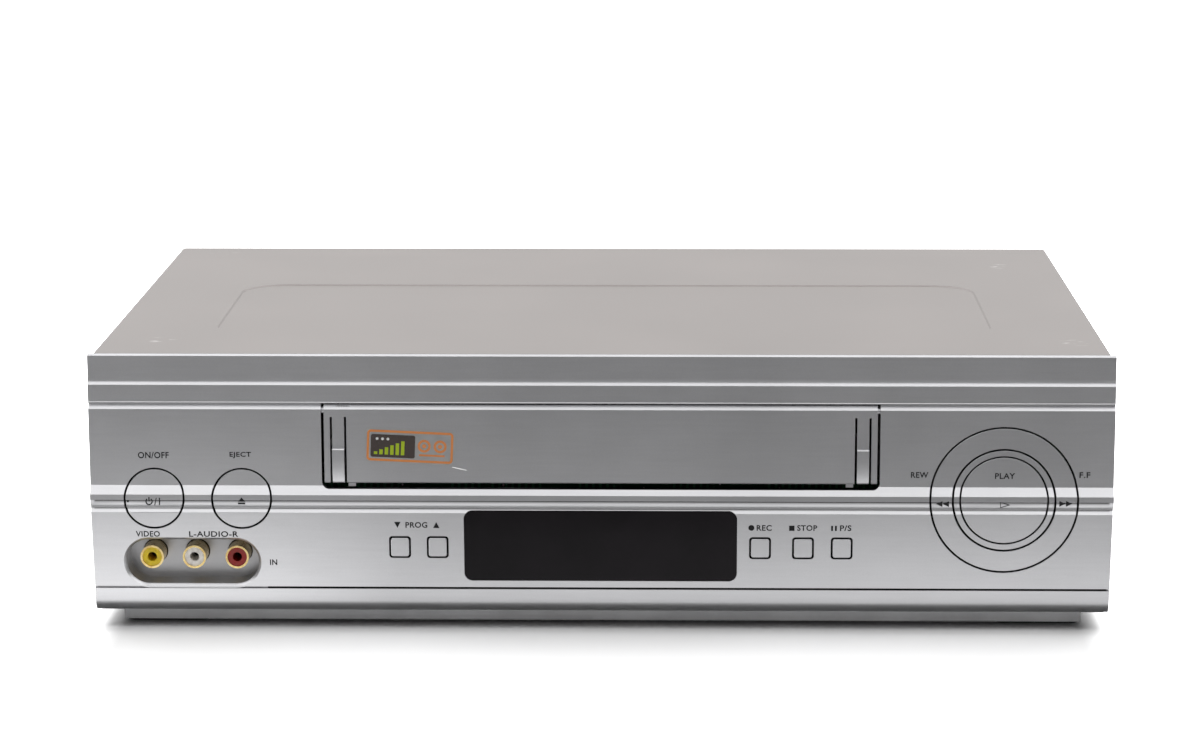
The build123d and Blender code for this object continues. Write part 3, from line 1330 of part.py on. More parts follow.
# ---------------------------------------------------------------- reels and arms
def reel_table(x):
    """Reel table with a brake rim and a spindle with three fins."""
    rim_top = WHEEL_BOTTOM + 4.2
    solid = rod_z(x, REEL_Y, REEL_WHEEL, (WHEEL_BOTTOM, rim_top))
    solid -= tube_z(x, REEL_Y, REEL_WHEEL - 2.5, REEL_SPINDLE + 3.5, (rim_top - 1.2, rim_top + 1))
    shaft = rod_z(x, REEL_Y, REEL_SPINDLE, (rim_top - 1, SPINDLE_TOP))
    shaft = chamfer(shaft.edges().filter_by(GeomType.CIRCLE).sort_by(Axis.Z)[-1], 3.5)
    for n in range(3):
        fin = box((REEL_SPINDLE - 1, REEL_SPINDLE + 2.6), (-0.9, 0.9), (rim_top - 1, SPINDLE_TOP - 5))
        shaft += Pos(x, REEL_Y) * Rot(0, 0, 120 * n) * fin
    solid += shaft
    return solid - rod_z(x, REEL_Y, STUD + FIT, (0, SPINDLE_TOP - 2.6))


def pinch_place():
    """Where the pinch roller's centre lies when it rests away from the capstan."""
    reach = CAPSTAN_SHAFT + PINCH_ROLLER + PINCH_GAP
    pressed = (CAPSTAN_X - reach * math.sqrt(0.5), CAPSTAN_Y + reach * math.sqrt(0.5))
    turn = math.radians(-PINCH_SWING)
    dx = pressed[0] - PINCH_PIVOT[0]
    dy = pressed[1] - PINCH_PIVOT[1]
    return (
        PINCH_PIVOT[0] + dx * math.cos(turn) - dy * math.sin(turn),
        PINCH_PIVOT[1] + dx * math.sin(turn) + dy * math.cos(turn),
    )


def link(start, end, half, z):
    """Flat link with round ends between two points."""
    length = math.dist(start, end)
    angle = math.degrees(math.atan2(end[1] - start[1], end[0] - start[0]))
    middle = ((start[0] + end[0]) / 2, (start[1] + end[1]) / 2, z[0])
    return Pos(*middle) * Rot(0, 0, angle) * extrude(SlotCenterToCenter(length, 2 * half), z[1] - z[0])


def pinch_arm():
    """Arm that swings the pinch roller against the capstan."""
    low = WHEEL_BOTTOM + 8
    end = pinch_place()
    solid = rod_z(*PINCH_PIVOT, 5, (WHEEL_BOTTOM, low + 5))
    solid += link(PINCH_PIVOT, end, 3.5, (low, low + 2.5))
    solid += rod_z(*end, 1.5, (low, low + 17))
    return solid - rod_z(*PINCH_PIVOT, STUD + FIT, (0, low + 6))


def pinch_roller():
    """Rubber roller on the arm's pin."""
    low = WHEEL_BOTTOM + 8 + 2.5 + 0.2
    x, y = pinch_place()
    solid = rod_z(x, y, PINCH_ROLLER, (low, low + 13))
    solid = chamfer(solid.edges().filter_by(GeomType.CIRCLE), 0.5)
    return solid - rod_z(x, y, 1.5 + FIT, (low - 1, low + 14))


def tension_arm():
    """Sprung arm whose post feels the tension of the tape."""
    low = WHEEL_BOTTOM + 4.2
    solid = link(TENSION_PIVOT, TENSION_POST, 2.4, (low, low + 2))
    solid += rod_z(*TENSION_PIVOT, 4, (WHEEL_BOTTOM, low + 3.6))
    solid += rod_z(*TENSION_POST, 1.6, (low, low + 22))
    solid += rod_z(*TENSION_POST, 2.6, (low + 21, low + 22.5))
    return solid - rod_z(*TENSION_PIVOT, 2.0 + FIT, (0, low + 5))


def tape_guide(side):
    """Guide that draws the tape round the drum: base, roller post, and a pin in the deck's slot."""
    x, y = guide_place(side)
    block = box((-7, 7), (-4.5, 4.5), (DECK_TOP + CLEAR, DECK_TOP + 5))
    base = Pos(x, y) * Rot(0, 0, side * GUIDE_REST) * block
    solid = base + rod_z(x, y, 3.0, (DECK_TOP + 4, DECK_TOP + 24))
    solid += rod_z(x, y, 4.0, (DECK_TOP + 23, DECK_TOP + 25.5))
    solid += rod_z(x, y, GUIDE_PIN, (DECK_Z - 2, DECK_TOP + 1))
    return solid + rod_z(x, y, 4.2, (DECK_Z - 2, DECK_Z - CLEAR))


def audio_head():
    """Sound and control head on its adjusting plate."""
    x, y = AUDIO_HEAD_AT
    solid = box((x - 10, x + 10), (y - 7, y + 7), (DECK_TOP, DECK_TOP + 2))
    solid += rod_z(x, y + 1, 4, (DECK_TOP, DECK_TOP + 10))
    head = box((x - 7, x + 7), (y - 6, y + 6), (DECK_TOP + 9, DECK_TOP + 28))
    return solid + fillet(head.edges().filter_by(Axis.Z), 2.5)


def erase_head():
    """Full erase head before the drum."""
    x, y = ERASE_HEAD_AT
    solid = box((x - 7, x + 7), (y - 4, y + 6), (DECK_TOP, DECK_TOP + 2))
    head = box((x - 5.5, x + 5.5), (y - 4, y + 4), (DECK_TOP + 1, DECK_TOP + 25))
    return solid + fillet(head.edges().filter_by(Axis.Z), 2.0)


# ---------------------------------------------------------------- loading gear
def gear(teeth, half_turn):
    """Spur gear outline: straight sided teeth, thin enough to run with play."""
    pitch_radius = MODULE * teeth / 2
    root = pitch_radius - 1.3 * MODULE
    tip = pitch_radius + 0.8 * MODULE
    step = 2 * math.pi / teeth
    outline = []
    for n in range(teeth):
        middle = (n + 0.5 * half_turn) * step
        for radius, share in ((root, -0.30), (tip, -0.13), (tip, 0.13), (root, 0.30)):
            angle = middle + share * step
            outline.append((radius * math.cos(angle), radius * math.sin(angle)))
    return make_face(Polyline(*outline, close=True))


def motor_place():
    """The pinion stands left of the cam gear, at the distance of their pitch circles."""
    return (CAM_AT[0] - MODULE * (CAM_TEETH + PINION_TEETH) / 2, CAM_AT[1])


def cam_gear():
    """Large gear with the groove that leads the loading motions."""
    solid = Pos(*CAM_AT, WHEEL_BOTTOM) * extrude(gear(CAM_TEETH, 0), CAM_THICK)
    solid -= tube_z(*CAM_AT, 19, 15.5, (WHEEL_BOTTOM + CAM_THICK - 1.6, 99))
    solid -= tube_z(*CAM_AT, 12, 9, (WHEEL_BOTTOM + CAM_THICK - 1.6, 99))
    return solid - rod_z(*CAM_AT, STUD + FIT, (0, 99))


def motor_pinion():
    """Small gear on the loading motor's shaft."""
    x, y = motor_place()
    top = WHEEL_BOTTOM + CAM_THICK + 0.6
    solid = Pos(x, y, WHEEL_BOTTOM) * extrude(gear(PINION_TEETH, 1), top - WHEEL_BOTTOM)
    return solid + rod_z(x, y, 1.0, (top - 0.5, top + 8))


def loading_motor():
    """Motor that stands on a bracket over the pinion."""
    x, y = motor_place()
    plate = DECK_TOP + 7.5
    inner = -SLIDER_OUTER - 2.4
    solid = box((TAB_EDGE + 3, inner), (y - 15, y + 15), (plate, plate + 2))
    for side in (-1, 1):
        leg = sorted((y + side * 13, y + side * 15))
        solid += box((TAB_EDGE + 3, -110), leg, (DECK_TOP, plate + 1))
    can = rod_z(x, y, MOTOR_RADIUS, (plate + 1, plate + MOTOR_LENGTH))
    can = fillet(can.edges().filter_by(GeomType.CIRCLE).sort_by(Axis.Z)[-1], 1.5)
    return solid + can - rod_z(x, y, 1.0 + FIT, (0, plate + 8))


# ---------------------------------------------------------------- cassette carriage
def pin_track(y, z):
    """L shaped opening for one carriage pin: feed run, then the drop."""
    half = PIN_SLOT
    feed = box((-1, 1), (y - FEEDING - half, y + half), (z - half, z + half))
    drop = box((-1, 1), (y - half, y + half), (z - LOWERING - half, z + half))
    return feed + drop


def carriage_brackets():
    """Upright plates at both sides of the deck with the L shaped tracks, feet and slider rails."""
    plate = box((-BRACKET / 2, BRACKET / 2), (BRACKET_START, BRACKET_END), (DECK_TOP, BRACKET_TOP))
    for y, z in CARRIAGE_PINS:
        plate -= pin_track(y, z)
    plate -= box((-1, 1), (CAM_AT[1] - 24, CAM_AT[1] + 24), (DECK_TOP - 1, DECK_TOP + 6))
    middle = (BRACKET_INNER + BRACKET_OUTER) / 2
    pieces = []
    for side in (-1, 1):
        solid = Pos(side * middle, 0, 0) * plate
        foot = sorted((side * BRACKET_INNER, side * (BRACKET_OUTER + 6)))
        rail = sorted((side * BRACKET_INNER, side * (SLIDER_OUTER + 0.6)))
        solid += box(foot, (BRACKET_START + 2, CAM_AT[1] - 28), (DECK_TOP, DECK_TOP + 1))
        solid += box(foot, (BRACKET_END - 6, BRACKET_END), (DECK_TOP, DECK_TOP + 1))
        ends = (BRACKET_START, BRACKET_END - 8)
        solid += box(rail, ends, (SLIDER_FOOT - 1.5, SLIDER_FOOT - CLEAR))
        lip = sorted((side * BRACKET_INNER, side * (BRACKET_OUTER + 5)))
        solid += box(lip, (BRACKET_START, BRACKET_END), (BRACKET_TOP - 1, BRACKET_TOP))
        pieces.append(solid)
    return group(pieces)


def carriage_slider():
    """Drive plates outside the brackets: their upright slots carry the carriage's pins along."""
    pieces = []
    for side in (-1, 1):
        x = sorted((side * SLIDER_INNER, side * SLIDER_OUTER))
        solid = box(x, (CARRIAGE_START, CARRIAGE_END), (SLIDER_FOOT, SLIDER_TOP))
        for y, z in CARRIAGE_PINS:
            drop = (z - LOWERING - PIN_SLOT, z + PIN_SLOT)
            solid -= box((x[0] - 1, x[1] + 1), (y - PIN_SLOT, y + PIN_SLOT), drop)
        pieces.append(solid)
    return group(pieces)


def cassette_carriage():
    """Cage that takes the cassette in and down, with two pins at each side."""
    level = (CARRIAGE_FOOT, CARRIAGE_TOP + CARRIAGE_WALL)
    span = (CARRIAGE_START, CARRIAGE_END)
    solid = pair((CARRIAGE_INNER, CARRIAGE_OUTER), span, level)
    lid = (CARRIAGE_TOP, CARRIAGE_TOP + CARRIAGE_WALL)
    solid += box((-CARRIAGE_OUTER, CARRIAGE_OUTER), (span[0] + 2, span[1]), lid)
    shelf = (CARRIAGE_INNER - CARRIAGE_LEDGE, CARRIAGE_OUTER)
    solid += pair(shelf, span, (CARRIAGE_FOOT, CARRIAGE_FOOT + CARRIAGE_WALL))
    stop = (CARRIAGE_END - CARRIAGE_WALL, CARRIAGE_END)
    solid += pair((CARRIAGE_INNER - 8, CARRIAGE_OUTER), stop, (CARRIAGE_FOOT, CARRIAGE_FOOT + 9))
    for x in (-60, 0, 60):
        solid -= rounded_plate(x, (span[0] + span[1]) / 2 + 2, 40, 26, (lid[0] - 1, lid[1] + 1))
    for y, z in CARRIAGE_PINS:
        reach = SLIDER_OUTER + 1.0
        solid += rod_x(y, z, CARRIAGE_PIN, (CARRIAGE_INNER + 0.5, reach))
        solid += rod_x(y, z, CARRIAGE_PIN, (-reach, -CARRIAGE_INNER - 0.5))
    return solid


def rounded_plate(x, y, width, depth, z):
    """Rounded window through a level plate."""
    return extrude(Pos(x, y, z[0]) * RectangleRounded(width, depth, 4), z[1] - z[0])


# ---------------------------------------------------------------- all pieces
def main():
    """Write one STEP file for every node."""
    pieces = {
        "top_cover": top_cover(),
        "front_panel": front_panel(),
        "cassette_door": cassette_door(),
        "door_spring": door_spring(),
        "display_window": display_window(),
        "standby_button": round_button(STANDBY_X),
        "eject_button": round_button(EJECT_X),
        "play_button": play_button(),
        "shuttle_ring": shuttle_ring(),
        "ring_trim": ring_trim(),
        "front_jack_shells": front_jack_shells(),
        "jack_inserts": jack_inserts(),
        "front_board": front_board(),
        "tact_switches": tact_switches(),
        "display_tube": display_tube(),
        "ribbon_cable": ribbon_cable(),
        "chassis_frame": chassis_frame(),
        "rubber_feet": rubber_feet(),
        "bottom_cover": bottom_cover(),
        "rear_panel": rear_panel(),
        "screws": screws(),
        "mains_inlet": mains_inlet(),
        "scart_sockets": scart_sockets(),
        "tuner_can": tuner_can(),
        "rf_sockets": rf_sockets(),
        "rear_audio_jacks": rear_audio_jacks(),
        "main_board": main_board(),
        "power_transformer": power_transformer(),
        "capacitors": capacitors(),
        "heat_sink": heat_sink(),
        "deck_plate": deck_plate(),
        "drum_base": drum_base(),
        "lower_drum": lower_drum(),
        "upper_drum": upper_drum(),
        "capstan_motor": capstan_motor(),
        "capstan_flywheel": capstan_flywheel(),
        "clutch_pulley": clutch_pulley(),
        "drive_belt": drive_belt(),
        "idler_arm": idler_arm(),
        "idler_wheel": idler_wheel(),
        "supply_reel_table": reel_table(-REEL_X),
        "take_up_reel_table": reel_table(REEL_X),
        "pinch_arm": pinch_arm(),
        "pinch_roller": pinch_roller(),
        "tension_arm": tension_arm(),
        "supply_guide": tape_guide(-1),
        "take_up_guide": tape_guide(1),
        "audio_head": audio_head(),
        "erase_head": erase_head(),
        "cam_gear": cam_gear(),
        "motor_pinion": motor_pinion(),
        "loading_motor": loading_motor(),
        "carriage_brackets": carriage_brackets(),
        "carriage_slider": carriage_slider(),
        "cassette_carriage": cassette_carriage(),
    }
    for name, x in SQUARE_BUTTONS.items():
        pieces[name] = square_button(x)
    for name, shape in pieces.items():
        write(name, shape)


if __name__ == "__main__":
    main()
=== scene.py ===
# %% [markdown]
# # A silver cassette recorder, dressed around its working model
#
# The recorder is a wide flat box: a moulded silver panel with ledges along its front, a flap for the
# cassette, round and square push buttons, a dark display window and a pocket with three gold sockets.
# A grey steel cover wraps the top and sides. The solids come ready made, at their real size, and each
# lies on the body that it moves with. This lesson gives every one of them its finish, softens the
# edges that a hand would feel, and adds what is too fine for the solids: printed marks, the label
# and a scratch.

# %% load the working model
import math

import bmesh
import bpy
from mathutils import Matrix, Vector


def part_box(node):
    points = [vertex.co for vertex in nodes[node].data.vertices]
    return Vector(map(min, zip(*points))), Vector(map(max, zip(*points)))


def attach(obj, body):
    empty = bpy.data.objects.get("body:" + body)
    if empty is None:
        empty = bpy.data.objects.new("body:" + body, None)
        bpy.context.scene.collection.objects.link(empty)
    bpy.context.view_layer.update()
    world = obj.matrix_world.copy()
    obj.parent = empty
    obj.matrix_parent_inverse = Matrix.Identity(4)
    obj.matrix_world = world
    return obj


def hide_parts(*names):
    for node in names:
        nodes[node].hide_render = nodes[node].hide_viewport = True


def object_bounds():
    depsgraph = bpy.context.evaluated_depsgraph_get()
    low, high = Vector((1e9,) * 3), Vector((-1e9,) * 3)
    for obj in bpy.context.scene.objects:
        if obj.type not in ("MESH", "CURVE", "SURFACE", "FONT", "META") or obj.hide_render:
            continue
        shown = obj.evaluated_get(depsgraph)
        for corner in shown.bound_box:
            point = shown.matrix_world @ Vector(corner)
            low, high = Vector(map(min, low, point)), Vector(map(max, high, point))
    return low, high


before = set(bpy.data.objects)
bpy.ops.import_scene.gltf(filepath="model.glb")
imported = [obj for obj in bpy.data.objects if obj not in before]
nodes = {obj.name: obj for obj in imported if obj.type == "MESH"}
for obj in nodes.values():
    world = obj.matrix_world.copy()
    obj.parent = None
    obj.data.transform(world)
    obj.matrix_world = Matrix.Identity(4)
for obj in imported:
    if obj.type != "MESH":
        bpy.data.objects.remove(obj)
cad_box = [list(corner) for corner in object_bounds()]

# %% [markdown]
# Everything is in metres. The sizes of this object are easier to think of in millimetres, so one
# constant turns them over. The plane of the brow, at the top of the panel, is the datum that depths
# along the front are counted from.

# %% datum and helpers for selecting
MM = 0.001
NOSE = 2.2  # the lower part of the panel stands this far before the brow
panel_low, panel_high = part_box("front_panel")
BROW_Y = panel_low.y + NOSE * MM
print("brow plane at y =", round(BROW_Y, 4), "panel", round(panel_high.x - panel_low.x, 3), "wide")


def deselect_all():
    """Leaves nothing selected, since an operator acts on all that is."""
    for thing in bpy.context.selected_objects:
        thing.select_set(False)


def activate(thing):
    """Makes one object the selected and active one."""
    deselect_all()
    thing.select_set(True)
    bpy.context.view_layer.objects.active = thing


# %% [markdown]
# ## Camera
#
# A long lens far off keeps the panel's long edges nearly parallel. The camera stands a little right
# of the middle and looks slightly down, so that the top shows as a narrow band. It could be aimed with
# a constraint, but its place and three angles say exactly how it stands, down to a slight roll.

# %% camera
LENS = 104.13
CAMERA_PLACE = Vector((26.80 * MM, BROW_Y - 1187.84 * MM, 332.07 * MM))
CAMERA_PITCH = math.radians(11.412)  # down
CAMERA_YAW = math.radians(-1.294)  # to the left
CAMERA_ROLL = math.radians(-0.133)


def camera_turn():
    """Rotation of the camera from its pitch, yaw and roll."""
    forward = Vector(
        (
            math.sin(CAMERA_YAW) * math.cos(CAMERA_PITCH),
            math.cos(CAMERA_YAW) * math.cos(CAMERA_PITCH),
            -math.sin(CAMERA_PITCH),
        )
    )
    level = Vector((math.cos(CAMERA_YAW), -math.sin(CAMERA_YAW), 0))
    upright = level.cross(forward)
    right = level * math.cos(CAMERA_ROLL) + upright * math.sin(CAMERA_ROLL)
    up = upright * math.cos(CAMERA_ROLL) - level * math.sin(CAMERA_ROLL)
    return Matrix((right, up, -forward)).transposed()


lens_data = bpy.data.cameras.new("camera")
lens_data.lens = LENS
lens_data.sensor_width = 36
lens_data.dof.use_dof = False
lens_data.clip_start, lens_data.clip_end = 0.01, 50
camera = bpy.data.objects.new("camera", lens_data)
bpy.context.scene.collection.objects.link(camera)
camera.matrix_world = Matrix.Translation(CAMERA_PLACE) @ camera_turn().to_4x4()
bpy.context.scene.camera = camera
bpy.context.scene.view_settings.view_transform = "Standard"
print("camera", round((CAMERA_PLACE - Vector((0, BROW_Y, 0.05))).length, 3), "m from the panel")

# %% [markdown]
# ## Shader arithmetic
#
# A finish is mostly sums of masks. One small class wraps a socket, so that a sum on paper is also the
# sum in the node tree: each operator adds one Math node. Any other node comes from its method node,
# which takes the settings first and then the values or links of its sockets.


# %% sockets that can be added and multiplied
class Wire:
    """One output socket of a material, with the arithmetic that masks need."""

    def __init__(self, tree, socket=None):
        self.tree = tree
        self.socket = socket

    def node(self, kind, settings=None, sockets=None, out=0):
        """Adds a node and returns one of its outputs."""
        made = self.tree.nodes.new("ShaderNode" + kind)
        for name, value in (settings or {}).items():
            if name == "stops":
                set_stops(made.color_ramp, value)
            else:
                setattr(made, name, value)
        for name, value in (sockets or {}).items():
            if isinstance(value, Wire):
                self.tree.links.new(value.socket, made.inputs[name])
            else:
                made.inputs[name].default_value = value
        return Wire(self.tree, made.outputs[out])

    def math(self, operation, *values):
        return self.node("Math", {"operation": operation}, dict(enumerate(values)))

    def __add__(self, other):
        return self.math("ADD", self, other)

    __radd__ = __add__

    def __sub__(self, other):
        return self.math("SUBTRACT", self, other)

    def __rsub__(self, other):
        return self.math("SUBTRACT", other, self)

    def __mul__(self, other):
        return self.math("MULTIPLY", self, other)

    __rmul__ = __mul__

    def __gt__(self, other):
        return self.math("GREATER_THAN", self, other)

    def __lt__(self, other):
        return self.math("LESS_THAN", self, other)

    def size(self):
        return self.math("ABSOLUTE", self)

    def root(self):
        return self.math("SQRT", self)

    def least(self, other):
        return self.math("MINIMUM", self, other)

    def most(self, other):
        return self.math("MAXIMUM", self, other)

    def wave(self, period):
        """Sine from -1 to 1 that comes back every period millimetres."""
        return self.math("SINE", self * (2 * math.pi / (period * MM)))

    def tint(self, colour):
        """Black where this mask is 0 and the colour where it is 1."""
        return self.mix((0, 0, 0, 1), colour)

    def rise(self, low, high):
        """0 below low, 1 above high, and smooth between."""
        settings = {"interpolation_type": "SMOOTHSTEP", "clamp": True}
        return self.node("MapRange", settings, {0: self, 1: low, 2: high})

    def mix(self, first, second):
        """First colour where this mask is 0, second where it is 1."""
        return self.node("Mix", {"data_type": "RGBA"}, {0: self, 6: first, 7: second}, out=2)


def set_stops(ramp, stops):
    """Gives a colour ramp its (place, grey) stops."""
    while len(ramp.elements) < len(stops):
        ramp.elements.new(1.0)
    for element, (place, grey) in zip(ramp.elements, stops):
        element.position = place
        element.color = (grey, grey, grey, 1)


print("a wire can:", [name for name in vars(Wire) if not name.startswith("_")])

# %% [markdown]
# A finish starts the same way each time: a Principled shader whose steady values sit on its own
# sockets, and the object's own coordinates as the place that patterns are read from. They are metres
# on the real object, so a grain of half a millimetre stays one on every piece.


# %% a finish and its patterns
class Finish:
    """A material under construction."""

    def __init__(self, name, colour, roughness, metallic=0.0, **steady):
        self.material = bpy.data.materials.new(name)
        self.material.use_nodes = True
        self.tree = self.material.node_tree
        self.tree.nodes.clear()
        self.start = Wire(self.tree)
        self.shader = self.tree.nodes.new("ShaderNodeBsdfPrincipled")
        output = self.tree.nodes.new("ShaderNodeOutputMaterial")
        self.tree.links.new(self.shader.outputs[0], output.inputs[0])
        self.colour, self.roughness = (*colour, 1.0), roughness
        self.set("Base Color", self.colour)
        self.set("Roughness", roughness)
        self.set("Metallic", metallic)
        for socket, value in steady.items():
            self.set(socket.replace("_", " "), value)
        self.place = self.start.node("TexCoord", out=3)
        split = self.place.node("SeparateXYZ", None, {0: self.place})
        self.x, self.y, self.z = (
            Wire(self.tree, split.socket.node.outputs[axis]) for axis in range(3)
        )

    def set(self, socket, value):
        if isinstance(value, Wire):
            self.tree.links.new(value.socket, self.shader.inputs[socket])
        else:
            self.shader.inputs[socket].default_value = value

    def stretched(self, x, y, z):
        """The place, stretched along the axes, for a pattern with a grain."""
        return self.start.node("Mapping", None, {0: self.place, 3: (x, y, z)})

    def cloud(self, grain, detail=3.0, place=None):
        """Noise from 0 to 1 whose lumps are about grain millimetres wide."""
        sockets = {0: place or self.place, 2: 1 / (grain * MM), 3: detail}
        return self.start.node("TexNoise", None, sockets)

    def specks(self, spacing, width, share):
        """Mask of round specks: one may lie in each cell, and only a share of the cells has one."""
        cells = {0: self.place, 2: 1 / (spacing * MM)}
        distance = self.start.node("TexVoronoi", None, cells)
        pick = self.start.node("TexVoronoi", None, cells, out=1)
        chosen = self.start.node("SeparateColor", None, {0: pick}) < share
        return (1 - distance.rise(0.2 * width / spacing, 0.5 * width / spacing)) * chosen

    def bump(self, height, depth, strength=1.0):
        """Relief of a few hundredths of a millimetre, depth in millimetres."""
        sockets = {0: strength, 1: depth * MM, 3: height}
        self.set("Normal", self.start.node("Bump", None, sockets))

    def shade(self, mask, low, high):
        """The colour times low where the mask is 0, and times high where it is 1."""
        dark, light = (
            (*(min(1.0, part * factor) for part in self.colour[:3]), 1.0) for factor in (low, high)
        )
        return mask.mix(dark, light)


print("finishes are ready to be mixed")

# %% [markdown]
# ## Floor, background and light
#
# A silver panel has the look of what it mirrors, so the room is lit in tones that suit each face. The
# upright main face mirrors the table a foot in front of it, and that part is dim. The lower face leans
# back towards the table and mirrors the part just in front of it, and that part is bright. Every edge
# that looks up mirrors the two soft boxes overhead. Lit panels round the object could do the same, but
# they would also light what is matt. So the tones go to mirrored rays only. To a straight look the
# table and the background are plain white, except for the object's own shadow.

# %% table
TABLE_HALF = 6.0
TABLE_TOP = -0.2 * MM  # just under the feet
TONES_REACH = 0.50  # the tones run from the panel to half a metre in front of it
TONES_AHEAD = (  # (share of that reach, brightness in a mirror)
    (0.0, 0.01), (0.012, 0.02), (0.034, 0.80), (0.06, 0.80), (0.10, 0.67), (0.16, 0.59), (0.22, 0.33),
    (0.31, 0.26), (0.44, 0.07), (0.56, 0.035), (0.65, 0.03), (0.75, 0.055), (0.88, 0.12), (0.94, 0.18),
)
TONES_WIDTH = (-0.20, 0.20)  # from the left end of the object to the right, and a little beyond
TONES_ACROSS = ((0.0, 1.0), (0.09, 0.92), (0.22, 0.63), (0.50, 0.62), (0.70, 0.62), (1.0, 0.65))
TONES_POWER = 2.3
SHADOW_AHEAD = (0.035, 0.09)  # the shadow ends between these distances in front of the object
SHADOW_BESIDE = (-0.012, 0.016)  # and between these distances beside it


def rays(wire, *kinds):
    """1 for the rays of the kinds named, such as Camera or Glossy, and 0 for all others."""
    outputs = wire.node("LightPath").socket.node.outputs
    found = [Wire(wire.tree, outputs["Is " + kind + " Ray"]) for kind in kinds]
    mask = found[0]
    for other in found[1:]:
        mask = mask.most(other)
    return mask


def table_finish():
    finish = Finish("table_white", (0.80, 0.80, 0.80), 0.9, Specular_IOR_Level=0.0)
    straight = rays(finish.start, "Camera")
    mirrored = rays(finish.start, "Glossy", "Transmission")
    ahead = (BROW_Y - finish.y) * (1 / TONES_REACH)
    tones = finish.start.node("ValToRGB", {"stops": TONES_AHEAD}, {0: ahead})
    low, high = cad_box
    beside = (finish.x.size() - high[0]).rise(*SHADOW_BESIDE)
    ahead_or_behind = (low[1] - finish.y).most(finish.y - high[1]).rise(*SHADOW_AHEAD)
    away = beside.most(ahead_or_behind)
    across = finish.x.rise(*TONES_WIDTH)
    tones = finish.start.node("ValToRGB", {"stops": TONES_ACROSS}, {0: across}) * tones
    plain = straight.mix(finish.colour, (0.95, 0.95, 0.95, 1))
    finish.set("Base Color", mirrored.mix(plain, (0, 0, 0, 1)))
    finish.set("Emission Color", mirrored.mix((away * straight).tint((1, 1, 1, 1)), tones))
    finish.set("Emission Strength", TONES_POWER)
    finish.material.cycles.emission_sampling = "NONE"
    return finish.material


def add_table():
    """A wide flat sheet under the feet."""
    bpy.ops.mesh.primitive_plane_add(size=2 * TABLE_HALF, location=(0, 0, TABLE_TOP))
    table = bpy.context.object
    table.name = "table"
    table.data.transform(table.matrix_world)
    table.matrix_world = Matrix.Identity(4)
    table.data.materials.append(table_finish())
    return table


deselect_all()
table = add_table()
print("table", round(table.dimensions.x, 2), "m wide")

# %% [markdown]
# The world is the room. A mirror shows it dim in front of the object, pale behind it and bright
# overhead, where two soft boxes leave a gap between them. A picture of a studio would need a file, so
# the room is worked out from the direction of each ray. Lamps light the matt surfaces from overhead
# and cast the shadow.

# %% room
ROOM_LIT = (0.13, 0.13, 0.13, 1)  # what lights the matt surfaces
ROOM_FRONT = (0.20, 0.20, 0.205, 1)  # what a mirror shows of the room in front
ROOM_BACK = (0.80, 0.80, 0.80, 1)  # of the wall behind
BOX_SIDES = (1.9, 1.9, 1.9, 1)  # and of the soft boxes overhead, to the left and right
BOX_GAP = (0.60, 0.60, 0.60, 1)  # and between them
WALL_TURN = (-0.30, 0.30)  # the front goes over into the back between these, from -1 to 1
BOX_TURN = (0.02, 0.14)  # the gap into a box, from the middle outwards
UP_TURN = (0.30, 0.50)  # and the walls into the boxes, from the horizon at 0 up to 1
SIDE_BOX = (0.55, -0.40, 0.90)  # place of the right lamp, the left one mirrors it
SIDE_AIM = (0.10, -0.05, 0.0)
SIDE_WIDTH, SIDE_POWER = 0.50, 2.4
TOP_BOX, TOP_AIM = (0.0, 0.16, 1.10), (0.0, 0.10, 0.0)
TOP_WIDTH, TOP_DEPTH, TOP_POWER = 1.5, 0.60, 14.5


def build_room():
    world = bpy.data.worlds.new("room")
    world.use_nodes = True
    tree = world.node_tree
    tree.nodes.clear()
    wire = Wire(tree)
    split = wire.node("SeparateXYZ", None, {0: wire.node("TexCoord")})
    across, backwards, up = (Wire(tree, split.socket.node.outputs[axis]) for axis in range(3))
    walls = backwards.rise(*WALL_TURN).mix(ROOM_FRONT, ROOM_BACK)
    boxes = across.size().rise(*BOX_TURN).mix(BOX_GAP, BOX_SIDES)
    mirror = up.rise(*UP_TURN).mix(walls, boxes)
    seen = rays(wire, "Camera").mix(mirror, (1, 1, 1, 1))
    colour = rays(wire, "Camera", "Glossy", "Transmission").mix(ROOM_LIT, seen)
    background = wire.node("Background", None, {0: colour, 1: 1.0})
    output = tree.nodes.new("ShaderNodeOutputWorld")
    tree.links.new(background.socket, output.inputs[0])
    bpy.context.scene.world = world
    return world


def soft_box(name, place, aim, width, depth, power):
    """A rectangular lamp that faces the point it is aimed at."""
    lamp = bpy.data.lights.new(name, "AREA")
    lamp.shape, lamp.size, lamp.size_y, lamp.energy = "RECTANGLE", width, depth, power
    holder = bpy.data.objects.new(name, lamp)
    bpy.context.scene.collection.objects.link(holder)
    holder.location = place
    holder.rotation_euler = (Vector(aim) - Vector(place)).to_track_quat("-Z", "Y").to_euler()
    holder.visible_glossy = False
    return holder


build_room()
for name, side in (("box_left", -1), ("box_right", 1)):
    place, aim = ((side * x, y, z) for x, y, z in (SIDE_BOX, SIDE_AIM))
    soft_box(name, place, aim, SIDE_WIDTH, SIDE_WIDTH, SIDE_POWER)
soft_box("box_above", TOP_BOX, TOP_AIM, TOP_WIDTH, TOP_DEPTH, TOP_POWER)
